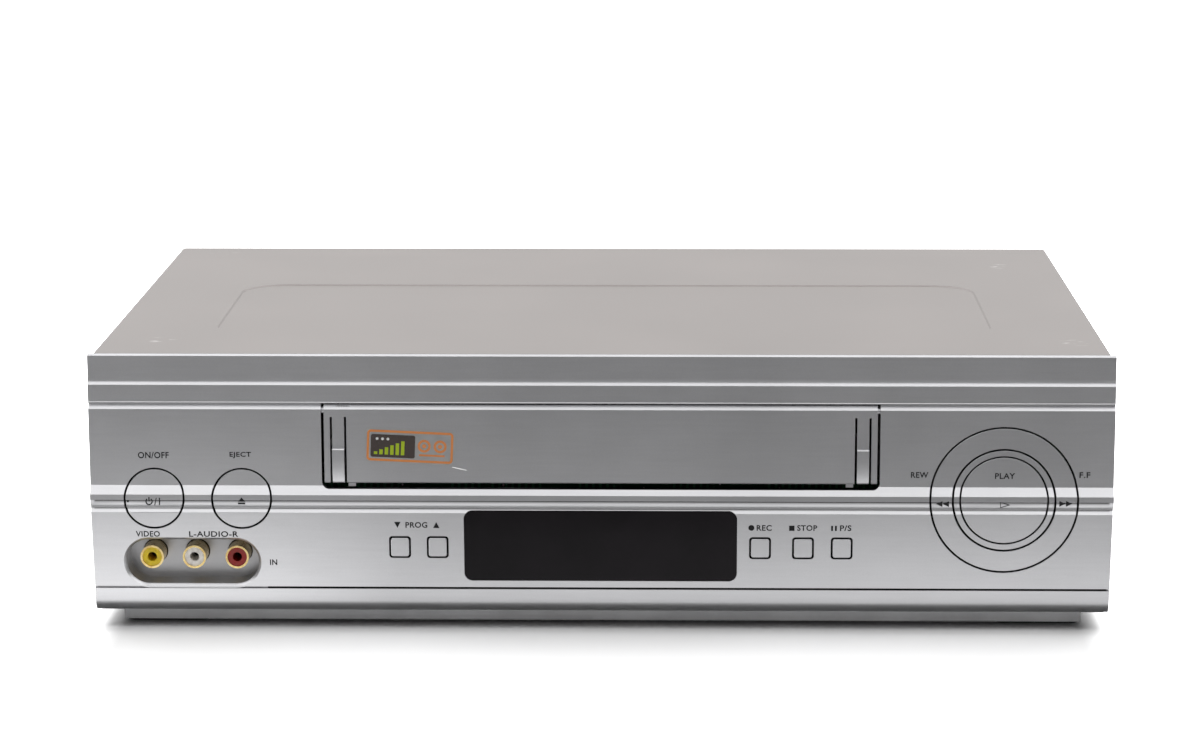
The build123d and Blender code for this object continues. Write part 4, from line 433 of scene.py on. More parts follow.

# %% [markdown]
# ## Finishes
#
# The silver of the panel is paint with fine metal flakes on plastic: it mirrors softly, and its
# flakes give it a faint sparkle. A few grains of dust keep it from looking like a drawing. The seams
# between the pieces and the groove are narrow and deep: a mask on the depth behind the face paints
# their shade into the colour, and a lighter painted shade into the sockets' pocket.


# %% silver paint of the panel and its buttons
SILVER = (0.60, 0.60, 0.615)
SILVER_METAL = 0.82  # how far the paint behaves as metal, by its flakes
FACE_LINE = (
    (0.0, 0.75), (0.1576, 0.75), (0.4343, 0.20), (0.4960, 0.46), (0.5273, 0.90), (1.0, 0.90),
)
FACE_RANGE = (-3.0, 1.0)  # millimetres behind the brow that greys 0 and 1 of the face line stand for
PANEL_HEIGHT = 99 * MM
SEAM_SHADE_DEPTHS = (0.3, 0.7)  # millimetres behind the face where the painted shade of a seam starts and is full
SEAM_HEIGHTS = (14.5, 78.0)  # the seams and the groove lie between these heights
SEAM_HALF = 178.0  # and within this much of the middle
POCKET_REACH = (-118.0, 34.2)  # the sockets' pocket lies left of and below these
POCKET_SHADE_SPARED = 0.70  # share of the painted seam shade that the wide pocket is spared
# colour of the painted shade deep in the seams
SEAM_SHADE_COLOUR = (0.012, 0.011, 0.011, 1)


def seam_shade_mask(finish):
    """Painted shade, 1 deep in the front's seams, less in the sockets' pocket and 0 on the outer face.
    """
    line = finish.start.node("ValToRGB", {"stops": FACE_LINE}, {0: finish.z * (1 / PANEL_HEIGHT)})
    low, high = FACE_RANGE
    face = BROW_Y + low * MM + (high - low) * MM * line
    deep = (finish.y - face).rise(*(depth * MM for depth in SEAM_SHADE_DEPTHS))
    foot, top = SEAM_HEIGHTS
    deep = deep * finish.z.rise((foot - 0.5) * MM, foot * MM)
    deep = deep * (1 - finish.z.rise(top * MM, (top + 1) * MM))
    deep = deep * (1 - finish.x.size().rise(SEAM_HALF * MM, (SEAM_HALF + 1) * MM))
    edge, rim = POCKET_REACH
    pocket = (1 - (finish.x > edge * MM)) * (1 - (finish.z > rim * MM))
    return deep * (1 - POCKET_SHADE_SPARED * pocket)


def silver_paint(name, colour=SILVER, roughness=0.34, dusty=True, seam_shade=True):
    finish = Finish(name, colour, roughness, SILVER_METAL)
    flakes = finish.cloud(0.45, 2.0)
    drift = finish.cloud(38.0, 4.0)
    streak = finish.cloud(1.2, 2.0, finish.stretched(0.06, 1, 1))
    tone = 0.5 * drift + 0.25 * flakes + 0.25 * streak
    paint = finish.shade(tone.rise(0.30, 0.70), 0.95, 1.05)
    if dusty:
        dust = finish.specks(9.0, 0.42, 0.10)
        paint = (0.8 * dust).mix(paint, (0.86, 0.86, 0.86, 1))
        finish.set("Metallic", SILVER_METAL - 0.6 * dust)
    # painted shade deep in the seams and the groove, lighter in the sockets' pocket
    if seam_shade:
        paint = seam_shade_mask(finish).mix(paint, SEAM_SHADE_COLOUR)
    finish.set("Base Color", paint)
    finish.set("Roughness", roughness - 0.03 + 0.05 * drift + 0.04 * flakes)
    finish.bump(finish.cloud(0.30, 1.0), 0.004)
    return finish.material


PANEL_PAINT = silver_paint("panel_silver_paint")
BUTTON_PAINT = silver_paint("button_silver_paint", dusty=False, roughness=0.32)
print("panel paint:", len(PANEL_PAINT.node_tree.nodes), "nodes")

# %% [markdown]
# The cover is pressed steel under a fine grained grey paint. Where it rubs against a shelf, near its
# corners, the paint has pale scuffs. They are rubbed into the paint and have no body, so a mask is truer
# than modelled flecks: a round spot broken up by stretched noise.


# %% grey paint of the cover
SCUFFS = ((-159, 218), (-158, 28), (155, 189), (168, 26))  # across, and behind the brow
SCUFF_RADIUS = 7.0


def spot(finish, x, y, radius):
    """Mask that is 1 inside a round spot on the cover's top and 0 outside it."""
    across = finish.x - x * MM
    along = finish.y - (BROW_Y + y * MM)
    far = (across * across + along * along).root()
    return 1 - far.rise(0.2 * radius * MM, radius * MM)


def cover_paint():
    finish = Finish("cover_grey_paint", (0.265, 0.244, 0.236), 0.42, 0.25)
    grain = finish.cloud(0.55, 2.0)
    drift = finish.cloud(60.0, 3.0)
    rub = finish.cloud(2.2, 4.0, finish.stretched(0.35, 1, 1)).rise(0.56, 0.66)
    marks = spot(finish, *SCUFFS[0], SCUFF_RADIUS)
    for x, y in SCUFFS[1:]:
        marks = marks + spot(finish, x, y, SCUFF_RADIUS)
    dust = finish.specks(11.0, 0.5, 0.12)
    paint = finish.shade((0.6 * drift + 0.4 * grain).rise(0.3, 0.7), 0.95, 1.05)
    worn = (0.5 * marks * rub + 0.8 * dust).least(1.0)
    finish.set("Base Color", worn.mix(paint, (0.80, 0.79, 0.78, 1)))
    finish.set("Roughness", 0.38 + 0.10 * drift)
    finish.bump(grain, 0.012, 0.8)
    return finish.material


COVER_PAINT = cover_paint()
print("cover paint has", len(SCUFFS), "scuffs")

# %% [markdown]
# Moulded plastic shows a fine even grain. Folded steel is smoother, with the soft cloudy bloom of its
# zinc or paint. Turned metal has fine rings, which lie across the axis that it was turned about. Some
# twenty stocks differ only in colour, gloss and grain, so four functions make them all.


# %% plastic, sheet and turned metal
def moulded_plastic(name, colour, roughness=0.5, grain=0.35, depth=0.01, **steady):
    finish = Finish(name, colour, roughness, **steady)
    drift = finish.cloud(14.0, 3.0)
    finish.set("Base Color", finish.shade(drift.rise(0.3, 0.7), 0.92, 1.08))
    finish.set("Roughness", roughness - 0.04 + 0.08 * drift)
    finish.bump(finish.cloud(grain, 2.0), depth)
    return finish.material


def sheet_metal(name, colour, roughness=0.38, metallic=0.9, bloom=9.0):
    finish = Finish(name, colour, roughness, metallic)
    cells = finish.cloud(bloom, 5.0)
    rolled = finish.cloud(0.9, 3.0, finish.stretched(1, 0.05, 1))
    finish.set("Base Color", finish.shade((0.7 * cells + 0.3 * rolled).rise(0.3, 0.7), 0.88, 1.10))
    finish.set("Roughness", roughness - 0.06 + 0.12 * cells)
    finish.bump(rolled, 0.006, 0.6)
    return finish.material


def turned_metal(name, colour, x, y, roughness=0.28, metallic=1.0):
    """Rings about an upright axis through x, y, which are in metres."""
    finish = Finish(name, colour, roughness, metallic)
    across, along = finish.x - x, finish.y - y
    far = (across * across + along * along).root()
    rings = (far + 0.5 * MM * finish.cloud(8.0)).wave(0.35)
    finish.set("Base Color", finish.shade(finish.cloud(12.0).rise(0.3, 0.7), 0.92, 1.06))
    finish.set("Roughness", roughness + 0.05 * rings)
    finish.bump(rings, 0.002, 0.5)
    return finish.material


def rubber(name, colour=(0.03, 0.03, 0.03)):
    finish = Finish(name, colour, 0.75)
    bloom = finish.cloud(5.0, 4.0)
    finish.set("Base Color", finish.shade(bloom.rise(0.35, 0.7), 0.8, 1.5))
    finish.set("Roughness", 0.68 + 0.14 * bloom)
    finish.bump(finish.cloud(0.25, 2.0), 0.02)
    return finish.material


ZINC = sheet_metal("zinc_plated_steel", (0.60, 0.60, 0.59))
HEAD_METAL = sheet_metal("head_polished_metal", (0.56, 0.56, 0.55), 0.18)
TIN = sheet_metal("tinned_can_steel", (0.66, 0.66, 0.64), 0.3)
PLATED = sheet_metal("plated_socket_nickel", (0.70, 0.69, 0.66), 0.2, 1.0, 4.0)
BLACK_PLASTIC = moulded_plastic("black_socket_plastic", (0.022, 0.022, 0.022), 0.42)
WHITE_PLASTIC = moulded_plastic("gear_white_plastic", (0.74, 0.73, 0.68), 0.4)
REEL_PLASTIC = moulded_plastic("reel_black_plastic", (0.035, 0.035, 0.037), 0.35)
BELT = rubber("belt_rubber")
print("zinc:", len(ZINC.node_tree.nodes), "nodes")

# %% [markdown]
# The display window is polished smoke plastic. It is almost black, with a hint of violet, and it
# keeps a few wiping marks that only show where it mirrors something bright. Clear glass before a dark
# room would be another way, but the plastic is so dark that a polished opaque skin looks the same.


# %% window
def smoke_window():
    finish = Finish("window_smoke_plastic", (0.006, 0.0045, 0.006), 0.06, Specular_IOR_Level=0.14)
    wiped = finish.cloud(6.0, 4.0, finish.stretched(0.2, 1, 1))
    dust = finish.specks(12.0, 0.4, 0.25)
    glow = finish.shade(finish.cloud(30.0).rise(0.3, 0.7), 0.8, 1.5)
    finish.set("Base Color", (0.12 * dust).mix(glow, (0.5, 0.5, 0.5, 1)))
    finish.set("Roughness", 0.05 + 0.06 * wiped + 0.3 * dust)
    return finish.material


WINDOW = smoke_window()
print("window:", len(WINDOW.node_tree.nodes), "nodes")

# %% [markdown]
# The sockets' shells are gold plated, with darker tarnish in patches. The display tube behind the
# window is thin glass. The two boards are green laminate, and their copper tracks show as lighter lanes
# under the solder mask. Modelled tracks would be thousands of faces inside a closed case, so stripes
# that change their direction from patch to patch stand for them.


# %% gold, glass and board
def gold_plate():
    finish = Finish("jack_gold_plate", (0.80, 0.60, 0.26), 0.2, 1.0)
    tarnish = finish.cloud(1.6, 4.0)
    finish.set("Base Color", tarnish.rise(0.35, 0.75).mix((0.83, 0.66, 0.32, 1), (0.62, 0.42, 0.16, 1)))
    finish.set("Roughness", 0.16 + 0.18 * tarnish)
    finish.bump(finish.cloud(0.5, 2.0), 0.004)
    return finish.material


def display_glass():
    finish = Finish("display_tube_glass", (0.05, 0.08, 0.08), 0.08, Transmission_Weight=0.5)
    smear = finish.cloud(7.0, 3.0)
    finish.set("Base Color", finish.shade(smear.rise(0.3, 0.7), 0.8, 1.3))
    finish.set("Roughness", 0.05 + 0.08 * smear)
    return finish.material


def laminate():
    """Green board: solder mask over copper tracks that just show as lighter lanes."""
    finish = Finish("board_green_laminate", (0.04, 0.17, 0.08), 0.34)
    lanes = (finish.x + 1.9 * MM * finish.cloud(25.0, 1.0)).wave(2.4)
    rows = finish.y.wave(3.1)
    area = finish.cloud(22.0, 1.0).rise(0.48, 0.52)
    tracks = (area * lanes + (1 - area) * rows).rise(0.2, 0.4)
    pads = finish.specks(3.0, 1.2, 0.4)
    mask = tracks.mix((0.030, 0.13, 0.06, 1), (0.055, 0.23, 0.11, 1))
    finish.set("Base Color", pads.mix(mask, (0.62, 0.61, 0.58, 1)))
    finish.set("Metallic", 0.9 * pads)
    finish.bump(tracks + pads, 0.03)
    return finish.material


GOLD = gold_plate()
BOARD = laminate()
print("board:", len(BOARD.node_tree.nodes), "nodes")

# %% [markdown]
# Some solids carry two finishes. The sockets' insulators are yellow, white and red at the front and
# black behind, the transformer is dark iron round a band of yellow tape, and a capacitor has a bare
# metal top over its sleeve. The solids could be cut apart, but a mask on the place tells which finish
# goes where, and leaves the working model whole.


# %% pieces with two finishes
SOCKET_XS = (-158.9, -143.9, -128.7)
INSULATOR_END = 10.0  # the coloured part ends this far behind the brow
JACK_COLOURS = ((0.90, 0.66, 0.01, 1), (1.0, 0.96, 0.90, 1), (0.33, 0.008, 0.004, 1))
TAPE_HALF = 9.0  # the yellow tape reaches this far to both sides of the transformer's middle
IRON_ABOVE = 1.2  # and ends this far below its top
CAN_TOP = 1.6  # the bare top of a capacitor reaches this far down


def socket_plastic():
    finish = Finish("jack_insulator_plastic", (0.03, 0.03, 0.03), 0.38)
    left, right = (
        finish.x > (SOCKET_XS[i] + SOCKET_XS[i + 1]) / 2 * MM for i in (0, 1)
    )
    tint = right.mix(left.mix(JACK_COLOURS[0], JACK_COLOURS[1]), JACK_COLOURS[2])
    behind = finish.y.rise(BROW_Y + INSULATOR_END * MM, BROW_Y + (INSULATOR_END + 0.2) * MM)
    stain = finish.cloud(1.8, 3.0)
    worn = (0.25 * stain.rise(0.4, 0.7)).mix(tint, (0.10, 0.08, 0.06, 1))
    finish.set("Base Color", behind.mix(worn, (0.02, 0.02, 0.02, 1)))
    finish.set("Roughness", 0.34 + 0.12 * stain)
    finish.bump(finish.cloud(0.4, 2.0), 0.006)
    return finish.material


def transformer_finish():
    low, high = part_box("power_transformer")
    middle = (low + high) / 2
    finish = Finish("transformer_iron_and_tape", (0.10, 0.09, 0.08), 0.5, 0.35)
    sheets = finish.y.wave(0.5)
    top = finish.z.rise(high.z - IRON_ABOVE * MM, high.z - (IRON_ABOVE - 0.2) * MM)
    centre = 1 - (finish.x - middle.x).size().rise(TAPE_HALF * MM, (TAPE_HALF + 0.2) * MM)
    tape = centre * (1 - top)
    iron = finish.shade(finish.cloud(3.0).rise(0.3, 0.7), 0.7, 1.3)
    finish.set("Base Color", tape.mix(iron, (0.62, 0.48, 0.08, 1)))
    finish.set("Metallic", 0.35 - 0.35 * tape)
    finish.bump(sheets * (1 - tape), 0.05)
    return finish.material


def can_finish():
    low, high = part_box("capacitors")
    finish = Finish("can_sleeve_and_top", (0.03, 0.035, 0.09), 0.3)
    top = finish.z.rise(high.z - CAN_TOP * MM, high.z - (CAN_TOP - 0.2) * MM)
    sleeve = finish.x.wave(9.0).rise(0.86, 0.9).mix((0.02, 0.025, 0.07, 1), (0.45, 0.46, 0.48, 1))
    finish.set("Base Color", top.mix(sleeve, (0.68, 0.68, 0.69, 1)))
    finish.set("Metallic", 0.9 * top)
    finish.set("Roughness", 0.28 + 0.15 * finish.cloud(4.0))
    return finish.material


def ribbon_finish():
    finish = Finish("ribbon_white_flat", (0.74, 0.74, 0.71), 0.45)
    cores = finish.x.wave(1.25)
    # the grooves between the cores are darker: a painted shade that follows the bump
    finish.set("Base Color", finish.shade(cores.rise(-0.6, 0.2), 0.72, 1.04))
    finish.set("Roughness", 0.40 + 0.10 * finish.cloud(6.0))
    finish.bump(cores, 0.12)
    return finish.material


INSULATOR = socket_plastic()
print("sockets at", SOCKET_XS, "mm from the middle")

# %% [markdown]
# Each solid now takes its finish. The table goes by solid and not by stock, because two solids of one
# stock may look different: the drums are turned about their own axes, the reels are black and the
# gears white. A turned piece needs the place of its axis, which is read from the solid's own box. What
# isn't in the table is plain zinc plated steel.


# %% dress the solids
def middle_of(name):
    low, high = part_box(name)
    return (low.x + high.x) / 2, (low.y + high.y) / 2


def turned(name, colour=(0.60, 0.60, 0.61), roughness=0.28):
    return turned_metal(name + "_turned", colour, *middle_of(name), roughness)


finishes = {
    "front_panel": PANEL_PAINT,
    # the flap's paint gets no painted seam shade
    "cassette_door": silver_paint("door_silver_paint", seam_shade=False),
    "ring_trim": BUTTON_PAINT,
    "top_cover": COVER_PAINT,
    "display_window": WINDOW,
    "front_jack_shells": GOLD,
    "jack_inserts": INSULATOR,
    "front_board": BOARD,
    "main_board": BOARD,
    "tact_switches": BLACK_PLASTIC,
    "mains_inlet": BLACK_PLASTIC,
    "scart_sockets": BLACK_PLASTIC,
    "display_tube": display_glass(),
    "ribbon_cable": ribbon_finish(),
    "chassis_frame": moulded_plastic("chassis_grey_plastic", (0.64, 0.64, 0.65), 0.5),
    "rubber_feet": rubber("foot_rubber", (0.04, 0.04, 0.04)),
    "rear_panel": sheet_metal("rear_grey_paint", (0.27, 0.27, 0.28), 0.48, 0.2, 30.0),
    "screws": sheet_metal("blackened_screw_steel", (0.16, 0.16, 0.165), 0.3, 0.9, 2.0),
    "door_spring": sheet_metal("spring_wire_steel", (0.55, 0.55, 0.56), 0.25, 1.0, 2.0),
    "tuner_can": TIN,
    "rf_sockets": PLATED,
    "rear_audio_jacks": BLACK_PLASTIC,
    "power_transformer": transformer_finish(),
    "capacitors": can_finish(),
    "heat_sink": sheet_metal("sink_mill_aluminium", (0.66, 0.66, 0.67), 0.34, 1.0, 14.0),
    "audio_head": HEAD_METAL,
    "erase_head": HEAD_METAL,
    "drive_belt": BELT,
    "pinch_roller": BELT,
    "idler_wheel": BELT,
    "supply_reel_table": REEL_PLASTIC,
    "take_up_reel_table": REEL_PLASTIC,
    "lower_drum": turned("lower_drum", (0.74, 0.74, 0.75), 0.2),
    "upper_drum": turned("upper_drum", (0.76, 0.76, 0.77), 0.16),
    "drum_base": sheet_metal("drum_base_casting", (0.60, 0.60, 0.60), 0.5, 0.9, 3.0),
    "capstan_flywheel": turned("capstan_flywheel"),
    "capstan_motor": turned("capstan_motor", (0.52, 0.52, 0.53), 0.35),
    "loading_motor": turned("loading_motor", (0.58, 0.58, 0.58), 0.3),
}
for name in nodes:
    if name.endswith("_button") or name == "shuttle_ring":
        finishes[name] = BUTTON_PAINT
for name in ("clutch_pulley", "cam_gear", "motor_pinion", "supply_guide", "take_up_guide"):
    finishes[name] = WHITE_PLASTIC
for name in nodes:
    nodes[name].data.materials.clear()
    nodes[name].data.materials.append(finishes.get(name, ZINC))
worn = {thing.data.materials[0].name for thing in nodes.values()}
print("dressed", len(nodes), "solids in", len(worn), "finishes")

# %% [markdown]
# ## Softened edges
#
# A moulded edge is never a knife edge: it has a small radius, and that radius is what catches the
# light round every button. Most solids have sharp edges, so the outer ones are copied, their loose
# triangles are merged and the flat ones dissolved, and then the sharp edges of the outer face are
# bevelled. The solids could have the radii themselves, but the working model would grow heavy with
# faces that only the eye needs. The copy stands for the solid, which stays in the working model.


# %% copy a solid and round its edges
SHARP = math.radians(24)  # an edge that turns more than this is rounded
FLAT = math.radians(0.3)  # and faces that turn less than this become one
SAME_PLACE = 0.002  # corners of triangles that are closer than this are one


def merged_copy(name, new_name):
    """A copy of a solid as one closed skin, in edit mode."""
    copy = bpy.data.objects.new(new_name, nodes[name].data.copy())
    bpy.context.scene.collection.objects.link(copy)
    activate(copy)
    bpy.ops.object.mode_set(mode="EDIT")
    bpy.ops.mesh.select_mode(type="VERT")
    bpy.ops.mesh.select_all(action="SELECT")
    bpy.ops.mesh.remove_doubles(threshold=SAME_PLACE * MM)
    bpy.ops.mesh.dissolve_limited(angle_limit=FLAT, delimit={"NORMAL"})
    return copy


def pick(kind, wanted):
    """Selects the verts, edges or faces that pass the test, and nothing else, and counts them."""
    mesh = bmesh.from_edit_mesh(bpy.context.object.data)
    for element in (*mesh.verts, *mesh.edges, *mesh.faces):
        element.select = False
    picked = [element for element in getattr(mesh, kind) if wanted(element)]
    for element in picked:
        element.select = True
    mesh.select_flush_mode()
    bmesh.update_edit_mesh(bpy.context.object.data)
    return len(picked)


def selected_box():
    """Lowest and highest corner of the selected points."""
    mesh = bmesh.from_edit_mesh(bpy.context.object.data)
    places = [point.co.copy() for point in mesh.verts if point.select]
    return [Vector(end(axis) for axis in zip(*places)) for end in (min, max)]


def soften(name, body, radius, wanted, reshape=None):
    """A copy of a solid, with those sharp edges rounded whose middle passes the test."""

    def sharp_and_wanted(edge):
        sharp = len(edge.link_faces) == 2 and edge.calc_face_angle(0) > SHARP
        return sharp and wanted((edge.verts[0].co + edge.verts[1].co) / 2)

    copy = merged_copy(name, name + "_soft")
    if reshape:
        reshape()
    bpy.ops.mesh.select_mode(type="EDGE")
    picked = pick("edges", sharp_and_wanted)
    if picked:
        bpy.ops.mesh.bevel(
            offset=radius * MM, segments=3, profile=0.5, affect="EDGES", clamp_overlap=True
        )
    bpy.ops.object.mode_set(mode="OBJECT")
    bpy.ops.object.shade_smooth_by_angle(angle=SHARP)
    bpy.ops.object.modifier_add(type="WEIGHTED_NORMAL")
    copy.modifiers[-1].weight, copy.modifiers[-1].keep_sharp = 100, True
    bpy.ops.object.modifier_apply(modifier=copy.modifiers[-1].name)
    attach(copy, body)
    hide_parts(name)
    print(name, "softened along", picked, "edges,", len(copy.data.polygons), "faces")
    return copy


print("edges that turn more than", round(math.degrees(SHARP)), "degrees are sharp")

# %% [markdown]
# Round buttons have the largest radius, and the flap, the panel and the trim the smallest. What lies
# behind the outer face stays sharp, because it can't be seen. Bevels are kept from overlapping, so the
# narrow steps that run across the front hold the radii down beside them. The small square buttons are
# rounded in the solids already: their copies are only merged, so that they can be shaded smoothly.

# %% soften the front
FRONT_RELIEF = 2.6 * MM  # the panel's outer form steps back by no more than this


def in_front(middle):
    """True on the outer face, and not behind it."""
    return middle.y < BROW_Y + FRONT_RELIEF


SQUARE_BUTTONS = (
    "program_down_button", "program_up_button", "record_button", "stop_button", "pause_button",
)
EDGE_RADII = (  # solid, body and the largest radius of its edges; narrow steps get a smaller one
    ("standby_button", "standby_button", 0.4),
    ("eject_button", "eject_button", 0.4),
    ("play_button", "play_button", 0.4),
    ("shuttle_ring", "shuttle_ring", 0.35),
    ("ring_trim", "casing", 0.2),
    ("cassette_door", "door", 0.2),
    ("front_panel", "casing", 0.2),
    ("display_window", "casing", 0.3),
    *((name, name, 0.0) for name in SQUARE_BUTTONS),
)
soft = {}
for name, body, radius in EDGE_RADII:
    soft[name] = soften(name, body, radius, in_front)

# %% [markdown]
# The cover's top has a shallow field pressed into it. Sheet steel can't be pressed with square walls,
# and a leaning wall shows as a softer line. The wall could be modelled anew, but it is enough to draw
# the rim of the field's floor in a little, before the edges are rounded.

# %% soften the cover's field
FIELD_FLOOR = 98.5  # height of the field's floor
FIELD_FOOT = 97.6  # a height just below the sheet there
FIELD_HALF = 145.0  # all of the field lies within this much of the middle, and the bends outside
FIELD_LEAN = 0.55  # the walls lean by this much
FIELD_RADIUS = 0.35


def on_field(middle):
    """True on the pressed field in the cover's top."""
    return middle.z > FIELD_FOOT * MM and abs(middle.x) < FIELD_HALF * MM


def on_floor(point):
    """True for the points of the field's floor, seen from above."""
    return abs(point.co.z - FIELD_FLOOR * MM) < 0.05 * MM and abs(point.co.x) < FIELD_HALF * MM


def lean_walls():
    """Draws the rim of the field's floor in on all sides."""
    bpy.ops.mesh.select_mode(type="VERT")
    pick("verts", on_floor)
    low, high = selected_box()
    size = high - low
    smaller = (1 - 2 * FIELD_LEAN * MM / size.x, 1 - 2 * FIELD_LEAN * MM / size.y, 1)
    bpy.ops.transform.resize(value=smaller, center_override=(low + high) / 2)
    print("field", round(size.x / MM), "by", round(size.y / MM), "mm")


soft["top_cover"] = soften("top_cover", "casing", FIELD_RADIUS, on_field, lean_walls)

# %% [markdown]
# ## Printed marks
#
# The words and symbols are ink, a few hundredths of a millimetre thick. An image on the panel would
# need a file and blur from near by, so the ink is modelled: each mark starts as a flat mesh in front of
# the panel, words from the built in font, symbols from discs and planes. Flat shapes are added in edit
# mode, where a new one is selected all over and is fitted to its place at once.

# %% flat shapes for marks
AHEAD = 8.0  # marks are drawn this far before the brow, well in front of everything
FLAT_Y = BROW_Y - AHEAD * MM
UP, RIGHT, DOWN, LEFT = 0.0, math.pi / 2, math.pi, -math.pi / 2


def start_flat(name):
    """An empty mesh in edit mode, ready for flat shapes."""
    thing = bpy.data.objects.new(name, bpy.data.meshes.new(name))
    bpy.context.scene.collection.objects.link(thing)
    activate(thing)
    bpy.ops.object.mode_set(mode="EDIT")
    return thing


def fit_selected(x, z, width, height):
    """Moves and resizes the selected points, so that their box is width by height round x, z."""
    low, high = selected_box()
    middle, size = (low + high) / 2, high - low
    bpy.ops.transform.resize(
        value=(width * MM / size.x, 1, height * MM / size.z), center_override=middle
    )
    bpy.ops.transform.translate(value=(x * MM - middle.x, 0, z * MM - middle.z))


def disc(x, z, width, height, corners=32, turn=UP):
    """Flat disc or, with three corners, a triangle that points the way it is turned."""
    bpy.ops.mesh.primitive_circle_add(
        vertices=corners, radius=MM, fill_type="NGON",
        location=(0, FLAT_Y, 0), rotation=(math.pi / 2, turn, 0),
    )
    fit_selected(x, z, width, height)


def bar(x, z, width, height):
    """Flat upright rectangle."""
    bpy.ops.mesh.primitive_plane_add(size=MM, location=(0, FLAT_Y, 0), rotation=(math.pi / 2, 0, 0))
    fit_selected(x, z, width, height)


def hollow(line):
    """Leaves only an outline of the selected flat face."""
    bpy.ops.mesh.inset(thickness=line * MM)
    bpy.ops.mesh.delete(type="FACE")


def plate(x, z, width, height, corner):
    """Flat rectangle with rounded corners."""
    bar(x, z, width, height)
    bpy.ops.mesh.bevel(offset=corner * MM, segments=5, affect="VERTICES")


def finish_flat():
    thing = bpy.context.object
    bpy.ops.object.mode_set(mode="OBJECT")
    return thing


print("marks start", AHEAD, "mm before the brow")

# %% [markdown]
# Each sign is one flat mesh of a few shapes: a triangle is a disc with three corners, an outline is an
# inset whose middle is deleted, and the power sign is an outlined disc with an opening.

# %% signs
SIGN_LINE = 0.42  # width of the lines of the power sign
PLAY_LINE = 0.26  # and of the outlined triangle


def triangle(x, z, width, height, turn):
    start_flat("triangle")
    disc(x, z, width, height, 3, turn)
    return finish_flat()


def double_triangle(x, z, width, height, turn):
    """Two triangles one behind the other, for winding."""
    start_flat("double_triangle")
    for side in (-1, 1):
        disc(x + side * width / 4, z, width / 2, height, 3, turn)
    return finish_flat()


def outlined_triangle(x, z, width, height, turn):
    start_flat("outlined_triangle")
    disc(x, z, width, height, 3, turn)
    hollow(PLAY_LINE)
    return finish_flat()


def dot(x, z, width):
    start_flat("dot")
    disc(x, z, width, width)
    return finish_flat()


def bars(x, z, width, height, count):
    """A square, or upright bars side by side."""
    start_flat("bars")
    each = width / (2 * count - 1)
    for number in range(count):
        bar(x - width / 2 + each * (2 * number + 0.5), z, each, height)
    return finish_flat()


def eject_sign(x, z, width, height):
    """A triangle over a bar."""
    start_flat("eject_sign")
    disc(x, z + 0.18 * height, width, 0.64 * height, 3, UP)
    bar(x, z - 0.38 * height, width, 0.24 * height)
    return finish_flat()


def power_sign(x, z, width):
    """A ring that is open at the top, with a bar in the opening."""
    start_flat("power_sign")
    disc(x, z, width, width, 40)
    hollow(SIGN_LINE)
    bpy.ops.mesh.select_all(action="SELECT")
    mesh = bmesh.from_edit_mesh(bpy.context.object.data)
    for face in mesh.faces:
        middle = face.calc_center_median()
        opening = abs(middle.x - x * MM) < 0.22 * width * MM and middle.z > z * MM
        face.select_set(opening)
    bpy.ops.mesh.delete(type="FACE")
    bar(x, z + 0.30 * width, SIGN_LINE, 0.60 * width)
    return finish_flat()


print("signs have lines of", SIGN_LINE, "and", PLAY_LINE, "mm")

# %% [markdown]
# A word starts as a text object of any size and becomes a mesh. It is then fitted to the height of its
# letters. Where a width is given it is stretched to that too, because the built in font has other
# proportions than the printed one.

# %% words
BOLDER = 0.02  # strokes are this much bolder, on letters of size 1
LETTER_GAPS = 1.08  # letters stand this many times as far apart as in the font
NARROWER = 0.92  # and a word gets this share of its own width, where none is given


def words(x, z, height, text, width=0.0):
    """A word in capitals of one height and, where width isn't 0, stretched to that width."""
    deselect_all()
    bpy.ops.object.text_add(location=(0, FLAT_Y, 0), rotation=(math.pi / 2, 0, 0))
    thing = bpy.context.object
    thing.data.body = text
    thing.data.size = MM
    thing.data.space_character = LETTER_GAPS
    thing.data.offset = BOLDER * MM
    thing.data.resolution_u = 4
    bpy.ops.object.convert(target="MESH")
    bpy.ops.object.transform_apply(location=True, rotation=True, scale=True)
    bpy.ops.object.mode_set(mode="EDIT")
    bpy.ops.mesh.select_all(action="SELECT")
    low, high = selected_box()
    natural = NARROWER * height * (high.x - low.x) / (high.z - low.z)
    fit_selected(x, z, width or natural, height)
    return finish_flat()


print("words are", NARROWER, "times as wide as in the font")

# %% [markdown]
# Ink is matt. Where fingers rub, it thins a little, which a fine cloud of greyer spots stands for. All
# the marks of one piece are joined, cut into narrow strips where the face below has steps, and dropped
# straight back onto it with Shrinkwrap. A thin shell gives the ink its body.

# %% drop marks onto a piece
INK_LIFT = 0.03  # ink lies this far off the face
INK_DEPTH = 0.02
STEPS_FOOT, STEPS_TOP = 41.0, 53.0  # the face is stepped between these heights
STRIP = 0.2  # and marks on it are cut into strips of this width


def ink(name, colour, roughness=0.5):
    finish = Finish(name, colour, roughness, Specular_IOR_Level=0.2)
    thin = finish.cloud(0.8, 3.0).rise(0.62, 0.80)
    finish.set("Base Color", (0.25 * thin).mix(finish.colour, (0.25, 0.25, 0.25, 1)))
    finish.set("Roughness", roughness + 0.15 * thin)
    return finish.material


def join(things, name):
    """One mesh from several."""
    activate(things[0])
    for thing in things:
        thing.select_set(True)
    bpy.ops.object.join()
    joined = bpy.context.object
    joined.name = joined.data.name = name
    return joined


